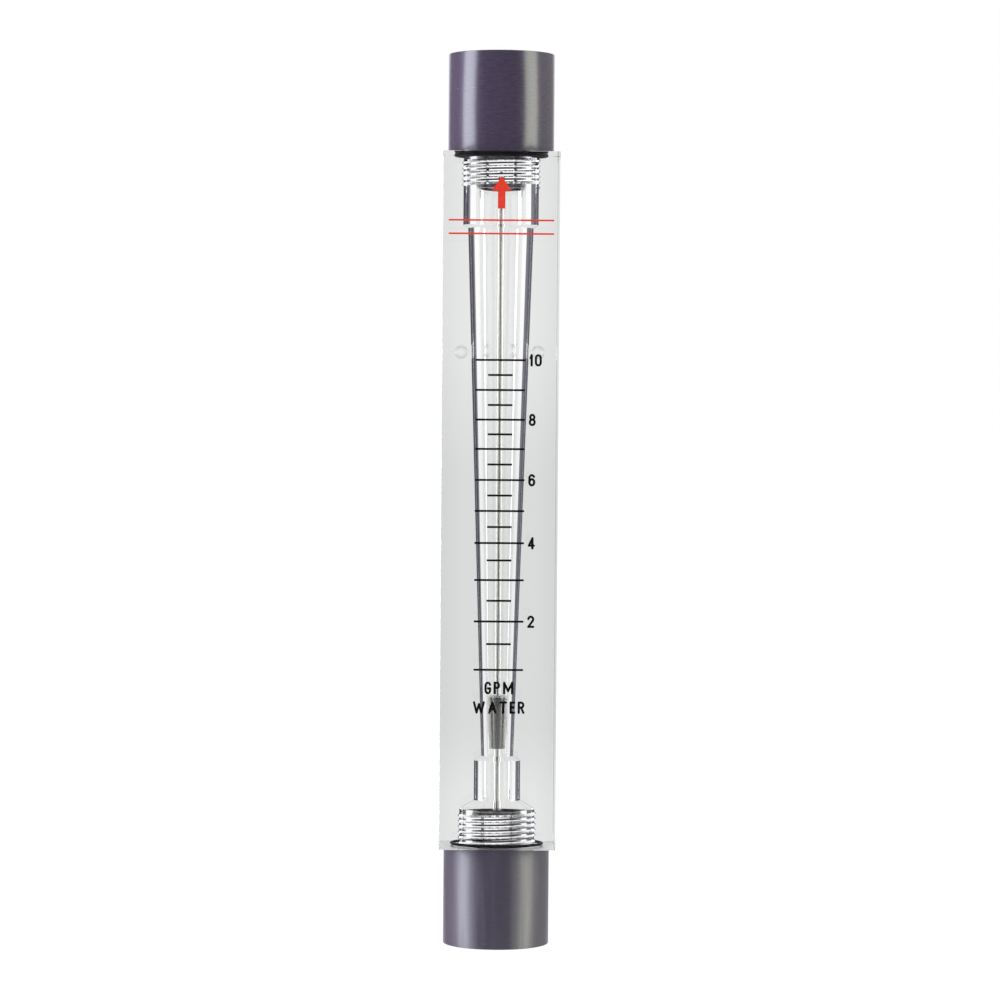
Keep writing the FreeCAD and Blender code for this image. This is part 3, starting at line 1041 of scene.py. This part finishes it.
@dataclass
class FaceSeal:
    """O-ring between a fitting's shoulder and the block's gland."""

    finishes: Finishes
    end: End
    section: float = 1.5
    lower_section: float = 1.15
    lower_lift: float = 0.3
    mean_radius: float = 18.65

    def build(self) -> Piece:
        """Makes the ring where its node is.

        Returns:
            The finished ring.
        """
        name = f"{self.end.word}_o_ring"
        low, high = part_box(name)
        lower = self.end is End.LOWER
        lift = self.lower_lift * MM if lower else 0.0
        section = self.lower_section if lower else self.section
        piece = add_piece(f"{name}_moulded", bpy.ops.mesh.primitive_torus_add,
                          location=(0.0, 0.0, (low.z + high.z) / 2.0 + lift),
                          major_radius=self.mean_radius * MM, minor_radius=section / 2.0 * MM,
                          major_segments=192, minor_segments=24)
        settle()
        return hand_over(piece, Slot.NITRILE, name, material=self.finishes.nitrile, sharp_angle=60.0)


@dataclass
class GuideRod:
    """Rod down the bore's axis, with turned ends that carry the nuts."""

    finishes: Finishes
    radius: float = 1.985
    end_radius: float = 1.5
    end_length: float = 8.2
    tip_chamfer: float = 0.4
    shoulder_chamfer: float = 0.15
    ring_radius: float = 1.485
    ring_foot: float = 82.175
    ring_head: float = 82.875

    def build(self) -> Piece:
        """Turns the rod with its shoulders, its chamfered tips and the groove of the ring under the float.

        Returns:
            The finished rod.
        """
        low, high = (corner.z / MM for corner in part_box("guide_rod"))
        chamfer = self.shoulder_chamfer
        piece = turned("guide_rod_turned", [
            (0.0, low),
            (self.end_radius - self.tip_chamfer, low),
            (self.end_radius, low + self.tip_chamfer),
            (self.end_radius, low + self.end_length),
            (self.radius - chamfer, low + self.end_length),
            (self.radius, low + self.end_length + chamfer),
            (self.radius, self.ring_foot),
            (self.ring_radius, self.ring_foot),
            (self.ring_radius, self.ring_head),
            (self.radius, self.ring_head),
            (self.radius, high - self.end_length - chamfer),
            (self.radius - chamfer, high - self.end_length),
            (self.end_radius, high - self.end_length),
            (self.end_radius, high - self.tip_chamfer),
            (self.end_radius - self.tip_chamfer, high),
            (0.0, high),
        ], 64, closed=False)
        return hand_over(piece, Slot.STEEL, "guide_rod", material=self.finishes.rod_steel_painted_bright)


@dataclass
class MeteringFloat:
    """Conical steel float with a sharp upper edge, bored for the rod."""

    finishes: Finishes
    top_radius: float = 6.3
    bottom_radius: float = 5.1
    rim: float = 0.9
    foot_chamfer: float = 0.25
    neck_inset: float = 0.25
    neck_foot: float = 0.9
    neck_head: float = 0.35
    bore_chamfer: float = 0.3
    bore_radius: float = 2.065
    recess_radius: float = 3.4
    recess_depth: float = 1.3

    def build(self) -> Piece:
        """Turns the float where its node is.

        Returns:
            The finished float.
        """
        low, high = (corner.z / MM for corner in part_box("float"))
        piece = turned("float_turned", [
            (self.recess_radius, low),
            (self.bottom_radius - self.foot_chamfer, low),
            (self.bottom_radius, low + self.foot_chamfer),
            (self.top_radius - self.neck_inset, high - self.rim - self.neck_foot),
            (self.top_radius - self.neck_inset, high - self.rim - self.neck_head),
            (self.top_radius, high - self.rim),
            (self.top_radius, high),
            (self.bore_radius + self.bore_chamfer, high),
            (self.bore_radius, high - self.bore_chamfer),
            (self.bore_radius, low + self.recess_depth),
            (self.recess_radius, low + self.recess_depth),
        ], 128)
        return hand_over(piece, Slot.STEEL, "float", material=self.finishes.float_steel_painted_dark, sharp_angle=20.0,
                         body=Body.FLOAT)


@dataclass
class RodNut:
    """Hexagon nut on the rod's end, with chamfers on its outer face and round its eye."""

    finishes: Finishes
    end: End
    flats: float = 6.4
    eye_radius: float = 1.55
    eye_chamfer: float = 0.3
    over: float = 0.3
    face_inset: float = 0.1
    chamfer_slope: float = math.tan(math.radians(30.0))

    def build(self) -> Piece:
        """Makes the nut where its node is.

        Returns:
            The finished nut.
        """
        name = f"{self.end.word}_rod_nut"
        low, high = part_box(name)
        foot, head = low.z / MM, high.z / MM
        corner = self.flats / 2.0 / math.cos(math.pi / 6.0)
        piece = add_piece(f"{name}_threaded", bpy.ops.mesh.primitive_cylinder_add, vertices=6,
                          radius=corner * MM, depth=high.z - low.z,
                          location=(0.0, 0.0, (low.z + high.z) / 2.0), rotation=(0.0, 0.0, math.pi / 6.0))
        settle()
        wide, face = corner + self.over, self.flats / 2.0 - self.face_inset
        rise = (wide - face) * self.chamfer_slope
        if self.end is End.LOWER:
            side = [(face, foot), (wide, foot + rise), (wide, head)]
        else:
            side = [(wide, foot), (wide, head - rise), (face, head)]
        mouth = self.eye_radius + self.eye_chamfer
        outline = [(mouth, foot), *side, (mouth, head), (self.eye_radius, head - self.eye_chamfer),
                   (self.eye_radius, foot + self.eye_chamfer)]
        combine(piece, turned("nut_tool", outline, 96), "INTERSECT")
        return hand_over(piece, Slot.STEEL, name, material=self.finishes.hardware_steel)


@dataclass
class CarriedNodes:
    """CAD nodes whose shapes are right as they are, and only get their finishes."""

    finishes: Finishes

    def dress_all(self) -> None:
        """Puts a finish on each carried node and reports it."""
        looks = {f"{end.word}_{kind}": self.finishes.hardware_steel
                 for kind in ("rod_guide", "guide_ring", "rod_washer") for end in End}
        looks.update({
            "float_stop_ring": self.finishes.hardware_steel,
            "upper_stop_washer": self.finishes.nitrile,
            "flow_mark": self.finishes.red_ink,
        })
        for name, material in looks.items():
            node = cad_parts[name]
            if not node.material_slots:
                node.data.materials.append(material)
            for place in node.material_slots:
                place.material = material
            log.info("%-22s carried over", name)


@dataclass(frozen=True)
class Sign:
    """One printed character and the box that it fills on the block's front."""

    letter: str
    left: float
    width: float
    middle: float
    height: float


@dataclass(frozen=True)
class Stroke:
    """One pen stroke of a character, in a box from 0 to 1 each way."""

    points: tuple[Point, ...]
    closed: bool = False


def bend(centre: Point, reach: Point, start: float, end: float, steps: int = 10) -> tuple[Point, ...]:
    """Points on part of an oval.

    Args:
        centre: The oval's middle.
        reach: Its half width and half height.
        start: Angle of the first point in degrees.
        end: Angle of the last point in degrees.
        steps: Runs between the points.

    Returns:
        The points in order.
    """
    angles = [math.radians(start + (end - start) * step / steps) for step in range(steps + 1)]
    return tuple((centre[0] + reach[0] * math.cos(angle), centre[1] + reach[1] * math.sin(angle))
                 for angle in angles)


class PlainGothic:
    """Characters of one even stroke, as engraved templates draw them."""

    strokes: dict[str, tuple[Stroke, ...]] = {
        "0": (Stroke(bend((0.5, 0.72), (0.5, 0.28), 180.0, 0.0)
                     + bend((0.5, 0.28), (0.5, 0.28), 0.0, -180.0), True),),
        "1": (Stroke(((0.0, 0.72), (0.55, 0.84), (1.0, 1.0), (1.0, 0.0))),),
        "2": (Stroke(bend((0.5, 0.74), (0.5, 0.26), 172.0, -28.0) + ((0.0, 0.0), (1.0, 0.0))),),
        "4": (Stroke(((0.72, 0.0), (0.72, 1.0), (0.0, 0.27), (1.0, 0.27))),),
        "6": (Stroke(bend((0.5, 0.72), (0.5, 0.28), 28.0, 180.0)
                     + bend((0.5, 0.30), (0.5, 0.30), 180.0, 540.0, 22)),),
        "8": (Stroke(bend((0.5, 0.765), (0.42, 0.235), -90.0, 270.0, 20), True),
              Stroke(bend((0.5, 0.27), (0.5, 0.27), 90.0, 450.0, 20), True)),
        "G": (Stroke(bend((0.5, 0.70), (0.5, 0.30), 22.0, 180.0)
                     + bend((0.5, 0.30), (0.5, 0.30), 180.0, 360.0) + ((1.0, 0.46), (0.55, 0.46))),),
        "P": (Stroke(((0.0, 0.0), (0.0, 1.0), (0.5, 1.0))
                     + bend((0.5, 0.755), (0.5, 0.245), 90.0, -90.0) + ((0.0, 0.51),)),),
        "M": (Stroke(((0.0, 0.0), (0.0, 1.0), (0.5, 0.22), (1.0, 1.0), (1.0, 0.0))),),
        "W": (Stroke(((0.0, 1.0), (0.26, 0.0), (0.5, 0.82), (0.74, 0.0), (1.0, 1.0))),),
        "A": (Stroke(((0.0, 0.0), (0.5, 1.0), (1.0, 0.0))), Stroke(((0.17, 0.32), (0.83, 0.32)))),
        "T": (Stroke(((0.0, 1.0), (1.0, 1.0))), Stroke(((0.5, 1.0), (0.5, 0.0)))),
        "E": (Stroke(((1.0, 1.0), (0.0, 1.0), (0.0, 0.0), (1.0, 0.0))),
              Stroke(((0.0, 0.52), (0.85, 0.52)))),
        "R": (Stroke(((0.0, 0.0), (0.0, 1.0), (0.5, 1.0))
                     + bend((0.5, 0.755), (0.48, 0.245), 90.0, -90.0) + ((0.0, 0.51),)),
              Stroke(((0.5, 0.51), (1.0, 0.0)))),
    }


@dataclass
class Lettering:
    """The scale's lines with numerals beside the even ones, and the unit words under them.

    The scale is drawn by runs from its highest line down: how many lines follow, and how far apart.
    """

    finishes: Finishes
    front: float = -23.8125
    film: float = 0.06
    pen: float = 0.98
    sharp_turn: float = 40.0
    line_pen: float = 0.88
    long_line: float = 20.4
    short_line: float = 10.2
    top_flow: float = 10.0
    top_height: float = 241.8
    runs: tuple[tuple[int, float], ...] = ((3, 6.12), (3, 5.98), (4, 6.33), (2, 6.55), (1, 7.08), (1, 8.06),
                                           (2, 8.47), (1, 9.24), (1, 10.54))
    numeral_left: float = 11.65
    numeral_width: float = 2.95
    numeral_height: float = 5.1
    unit_middle: float = 107.8
    medium_middle: float = 99.8
    unit_height: float = 5.3
    medium_height: float = 5.1

    def line_heights(self) -> list[float]:
        """Heights of all the lines, from the highest value down by halves."""
        heights = [self.top_height]
        for count, spacing in self.runs:
            for _ in range(count):
                heights.append(heights[-1] - spacing)
        return heights

    def line_height(self, flow: float) -> float:
        """Height of the scale line for a flow value."""
        return self.line_heights()[round(2.0 * (self.top_flow - flow))]

    def numerals(self) -> list[Sign]:
        """The even values, each centred on its line."""
        tall = self.numeral_height
        signs = [Sign("1", self.numeral_left + 0.1, 1.45, self.line_height(10.0), tall),
                 Sign("0", self.numeral_left + 2.3, self.numeral_width, self.line_height(10.0), tall)]
        for flow in (8, 6, 4, 2):
            signs.append(Sign(str(flow), self.numeral_left, self.numeral_width, self.line_height(flow),
                              tall))
        return signs

    def unit_words(self) -> list[Sign]:
        """The unit over the medium, widely spaced."""
        unit = {"G": (-5.65, 2.85), "P": (-1.9, 2.75), "M": (1.95, 4.25)}
        medium = {"W": (-10.3, 4.95), "A": (-4.05, 3.45), "T": (0.55, 3.1), "E": (4.7, 2.4),
                  "R": (8.0, 2.85)}
        rows = ((unit, self.unit_middle, self.unit_height), (medium, self.medium_middle, self.medium_height))
        return [Sign(letter, left, width, middle, height) for word, middle, height in rows
                for letter, (left, width) in word.items()]

    @staticmethod
    def run(line: Sequence[Point], closed: bool, pen: float) -> Piece:
        """Draws one run without sharp corners as a round rod.

        Args:
            line: The run's points in millimetres, across and up.
            closed: Whether it ends where it starts.
            pen: The pen's width.

        Returns:
            The rod's mesh.
        """
        piece = chain_of_points("run", line, closed)
        bpy.ops.object.mode_set(mode="OBJECT")
        bpy.ops.object.convert(target="CURVE")
        piece.data.bevel_depth = pen / 2.0 * MM
        piece.data.bevel_resolution = 3
        piece.data.use_fill_caps = True
        bpy.ops.object.convert(target="MESH")
        return bpy.context.object

    @staticmethod
    def dot(place: Point, pen: float) -> Piece:
        """Draws the pen's round end as a ball."""
        return add_piece("dot", bpy.ops.mesh.primitive_uv_sphere_add, segments=16, ring_count=8,
                         radius=pen / 2.0 * MM, location=(place[0] * MM, 0.0, place[1] * MM))

    def stroke(self, line: Sequence[Point], closed: bool, pen: float) -> list[Piece]:
        """Draws one stroke with a round pen, lifted at its sharp corners, and presses it flat.

        Args:
            line: The stroke's points in millimetres, across and up.
            closed: Whether it ends where it starts.
            pen: The pen's width.

        Returns:
            The stroke's meshes, standing on the block's front.
        """
        runs, run = [], [line[0]]
        for before, corner, after in zip(line, line[1:], line[2:]):
            run.append(corner)
            first = Vector(corner) - Vector(before)
            second = Vector(after) - Vector(corner)
            if first.length and second.length and first.angle(second) > math.radians(self.sharp_turn):
                runs.append(run)
                run = [corner]
        runs.append([*run, line[-1]])
        made = [self.run(points, closed, pen) for points in runs]
        if not closed:
            made.extend(self.dot(points[0], pen) for points in runs)
            made.append(self.dot(line[-1], pen))
        for piece in made:
            pick_up(piece)
            settle()
            piece.scale = (1.0, self.film / pen, 1.0)
            piece.location = (0.0, (self.front - self.film / 2.0) * MM, 0.0)
            settle()
        return made

    def character(self, sign: Sign) -> list[Piece]:
        """Draws one character's strokes in its box."""
        wide, tall = sign.width - self.pen, sign.height - self.pen
        left, foot = sign.left + self.pen / 2.0, sign.middle - tall / 2.0
        return [piece for stroke in PlainGothic.strokes[sign.letter] for piece in
                self.stroke([(left + wide * across, foot + tall * up) for across, up in stroke.points],
                            stroke.closed, self.pen)]

    def scale_lines(self) -> list[Piece]:
        """Draws the scale's lines, long at whole values and short at half values."""
        made = []
        for number, height in enumerate(self.line_heights()):
            reach = ((self.short_line if number % 2 else self.long_line) - self.line_pen) / 2.0
            made.extend(self.stroke([(-reach, height), (reach, height)], False, self.line_pen))
        return made

    def print_strokes(self, name: str, strokes: Sequence[Piece], *nodes: str) -> Piece:
        """Joins strokes into one printed piece.

        Args:
            name: The piece's name.
            strokes: The strokes, which are used up.
            nodes: CAD nodes that it replaces.

        Returns:
            The finished piece.
        """
        drop_selection()
        for stroke in strokes:
            stroke.select_set(True)
        bpy.context.view_layer.objects.active = strokes[0]
        bpy.ops.object.join()
        piece = bpy.context.object
        piece.name = name
        with editing():
            face_outwards()
        return hand_over(piece, Slot.BLACK_INK, *nodes, material=self.finishes.black_ink, sharp_angle=60.0)

    def build(self) -> list[Piece]:
        """Prints the lines, the numerals and the unit words."""
        numerals, words = ([stroke for sign in signs for stroke in self.character(sign)]
                           for signs in (self.numerals(), self.unit_words()))
        return [self.print_strokes("scale_lines", self.scale_lines(), "scale_marks"),
                self.print_strokes("scale_numerals", numerals),
                self.print_strokes("unit_words", words)]


# -------------------------------------------------------------------------------------- the studio


@dataclass
class Studio:
    """Camera, floor and the soft light all round.

    The light is one world map by bearing, counted from straight behind the meter and positive to its right.
    What is seen straight through the block is an even backdrop, and what a surface mirrors is a pair of
    soft boxes at the sides of a dim room.
    """

    camera_distance: float = 1.5
    camera_height: float = 0.2213
    camera_bearing: float = -0.8
    aim_side: float = 0.00054
    aim_height: float = 0.1841
    roll: float = 0.416
    lens: float = 130.2
    sensor_width: float = 36.0
    clip: tuple[float, float] = (0.01, 100.0)
    floor_side: float = 60.0
    floor_drop: float = 0.0002
    backdrop: Colour = (0.828, 0.834, 0.830)
    backdrop_inside: Colour = (0.16, 0.15, 0.165)

    def camera(self) -> None:
        """Places the camera in front of the meter, a little to its left and above its middle."""
        turn = math.radians(self.camera_bearing)
        place = Vector((math.sin(turn), -math.cos(turn), 0.0)) * self.camera_distance
        place.z = self.camera_height
        camera = add_piece("studio_camera", bpy.ops.object.camera_add, location=place)
        aim = Vector((self.aim_side * math.cos(turn), self.aim_side * math.sin(turn), self.aim_height))
        camera.rotation_euler = (aim - place).to_track_quat("-Z", "Y").to_euler()
        camera.rotation_euler.rotate_axis("Z", math.radians(self.roll))
        camera.data.lens = self.lens
        camera.data.sensor_width = self.sensor_width
        camera.data.clip_start, camera.data.clip_end = self.clip
        bpy.context.scene.camera = camera

    def floor(self) -> None:
        """Lays a pale floor that only the camera sees, so that it doesn't shade the clear block."""
        floor = add_piece("studio_floor", bpy.ops.mesh.primitive_plane_add, size=self.floor_side,
                          location=(0.0, 0.0, -self.floor_drop))
        settle()
        dress(floor, PaleFloor().material())
        for ray in ("diffuse", "glossy", "transmission", "shadow"):
            setattr(floor, f"visible_{ray}", False)

    @staticmethod
    def ramp(sheet: NodeSheet, bearing: Signal, levels: Sequence[tuple[float, Light]]) -> Socket:
        """Looks a light level up by bearing.

        Args:
            sheet: The world's node sheet.
            bearing: The bearing in radians.
            levels: Bearings in degrees and light in tenths, from left to right. A lone number is grey.

        Returns:
            The level's socket.
        """
        stops = [((place + 180.0) / 360.0, light if isinstance(light, tuple) else (light,) * 3)
                 for place, light in levels]
        sockets = {"Fac": bearing / FULL_TURN + 0.5}
        return sheet.add("ShaderNodeValToRGB", {"stops": stops}, sockets).out("Color")

    def mirrored_in_air(self, sheet: NodeSheet, bearing: Signal) -> Socket:
        """The room as the fittings mirror it: two soft boxes a little in front of the sides."""
        dim, rim = (0.010, 0.009, 0.012), (0.13, 0.13, 0.135)
        left, right = (0.88, 0.92, 1.0), (0.66, 0.69, 0.585)
        return self.ramp(sheet, bearing, [
            (-180.0, dim), (-121.0, dim), (-118.0, left), (-90.0, left), (-86.0, (0.11, 0.10, 0.12)),
            (-72.0, 0.05), (-30.0, 0.03), (-22.0, rim), (22.0, rim), (30.0, 0.045),
            (60.0, (0.07, 0.07, 0.065)), (94.0, 0.10), (97.5, right), (126.0, right), (129.0, dim),
            (180.0, dim),
        ])

    def washed_in_air(self, sheet: NodeSheet, bearing: Signal) -> Socket:
        """The same room blurred, as matt faces take it in."""
        return self.ramp(sheet, bearing, [
            (-180.0, 0.08), (-150.0, (0.12, 0.11, 0.13)), (-104.0, (0.42, 0.38, 0.46)),
            (-60.0, (0.24, 0.22, 0.26)), (0.0, 0.10), (60.0, 0.14),
            (110.0, (0.25, 0.25, 0.23)), (150.0, 0.11), (180.0, 0.08),
        ])

    def mirrored_by_wall(self, sheet: NodeSheet, bearing: Signal) -> Socket:
        """The room as the bore's wall mirrors it from outside: dark far behind, bright elsewhere."""
        bright, front, behind = 0.103, 0.088, 0.083
        left, right = (0.0062, 0.0060, 0.0078), (0.0092, 0.0088, 0.0115)
        return self.ramp(sheet, bearing, [
            (-180.0, front), (-150.0, front), (-130.0, bright), (-61.5, bright),
            (-58.5, (0.031, 0.030, 0.036)), (-50.0, (0.024, 0.023, 0.028)),
            (-42.0, (0.016, 0.015, 0.019)), (-32.0, left), (-5.5, left), (-4.0, behind), (4.0, behind),
            (5.5, right), (24.0, right), (38.0, (0.019, 0.018, 0.022)), (56.0, (0.021, 0.020, 0.025)),
            (64.5, (0.0165, 0.0160, 0.019)), (69.0, bright), (130.0, bright), (150.0, front),
            (180.0, front),
        ])

    def mirrored_in_bore(self, sheet: NodeSheet, bearing: Signal) -> Socket:
        """The room as the steel in the bore mirrors it: a dark slit in front and soft boxes beside it."""
        slit, cheek, box, side, behind = 0.009, 0.036, 0.210, 0.120, 0.085
        half = [(50.0, side), (62.0, box), (125.0, box), (132.0, cheek), (154.0, cheek), (166.0, slit),
                (180.0, slit)]
        left = [(-place, light) for place, light in reversed(half)]
        return self.ramp(sheet, bearing, [*left, (-48.0, behind), (48.0, behind), *half])

    def mirrored_again(self, sheet: NodeSheet, bearing: Signal) -> Socket:
        """What is found by light that the block's faces mirrored twice or more outside the bore."""
        left, right, behind = (0.0062, 0.0058, 0.0076), (0.0108, 0.0100, 0.0130), 0.083
        return self.ramp(sheet, bearing, [
            (-176.0, behind), (-174.5, right), (-5.5, right), (-4.0, behind), (4.0, behind), (5.5, left),
            (174.5, left), (176.0, behind),
        ])

    def light(self) -> None:
        """Builds the world's light, from what a ray has met on its way."""
        world = bpy.data.worlds.new("studio_light")
        bpy.context.scene.world = world
        world.use_nodes = True
        sheet = NodeSheet(world.node_tree)
        vector = sheet.add("ShaderNodeTexCoord").out("Generated")
        parts = sheet.add("ShaderNodeSeparateXYZ", None, {"Vector": vector})
        bearing = parts.signal("X").bearing(parts.signal("Y"))
        rise = parts.signal("Z").size()
        path = sheet.add("ShaderNodeLightPath")
        glossy, through = path.signal("Glossy Depth"), path.signal("Transmission Depth")
        mirrored, again = glossy.over(0.5), glossy.over(1.5)
        in_block, through_bore = through.over(0.5), through.over(2.5)
        scattered = path.signal("Diffuse Depth").over(0.5)
        overhead = (0.08, 0.08, 0.08)
        air = sheet.mix(rise.ease(0.45, 0.9), self.mirrored_in_air(sheet, bearing), overhead)
        wall = sheet.mix(again, self.mirrored_by_wall(sheet, bearing), self.mirrored_again(sheet, bearing))
        inside = sheet.mix(through_bore, wall, self.mirrored_in_bore(sheet, bearing))
        steep = sheet.mix(again, (0.080, 0.081, 0.081), (0.120, 0.120, 0.122))
        block = sheet.mix(rise.ease(0.19, 0.27), inside, steep)
        room = self.tenfold(sheet, sheet.mix(in_block, air, block))
        blurred = sheet.mix(rise.ease(0.45, 0.9), self.washed_in_air(sheet, bearing), overhead)
        wash = self.tenfold(sheet, blurred)
        matt = sheet.mix(in_block, wash, self.backdrop_inside)
        even = sheet.mix(scattered, self.backdrop, matt)
        lost = again * through_bore
        behind = sheet.mix(mirrored * (1.0 - lost), even, room)
        seen = sheet.mix(path.signal("Is Camera Ray"), behind, (1.0, 1.0, 1.0))
        shader = sheet.add("ShaderNodeBackground", None, {"Color": seen, "Strength": 1.0})
        sheet.add("ShaderNodeOutputWorld", None, {"Surface": shader.out()})
        world.cycles.sampling_method = "NONE"

    @staticmethod
    def exposure() -> None:
        """Sets the view transform, and how far light is followed through the block."""
        scene = bpy.context.scene
        scene.view_settings.view_transform = "Standard"
        scene.view_settings.look = "None"
        paths = {"max_bounces": 40, "transmission_bounces": 36, "glossy_bounces": 24, "diffuse_bounces": 4,
                 "caustics_reflective": True, "caustics_refractive": True, "blur_glossy": 0.0,
                 "sample_clamp_indirect": 0.0}
        for name, value in paths.items():
            setattr(scene.cycles, name, value)

    @staticmethod
    def tenfold(sheet: NodeSheet, colour: Socket) -> Socket:
        """Ten times a colour, since a ramp's stops end at 1."""
        return sheet.add("ShaderNodeVectorMath", {"operation": "SCALE"}, {0: colour, "Scale": 10.0}).out()

    def build(self) -> None:
        """Sets up camera, floor, light and exposure."""
        self.camera()
        self.floor()
        self.light()
        self.exposure()


def main() -> None:
    """Builds every piece in order, then the studio."""
    logging.basicConfig(level=logging.INFO, format="%(message)s")
    finishes = Finishes()
    ClearBlock(finishes).build()
    for end in End:
        EndFitting(finishes, end).build()
        FaceSeal(finishes, end).build()
        RodNut(finishes, end).build()
    GuideRod(finishes).build()
    MeteringFloat(finishes).build()
    CarriedNodes(finishes).dress_all()
    Lettering(finishes).build()
    Studio().build()


if __name__ == "__main__":
    main()
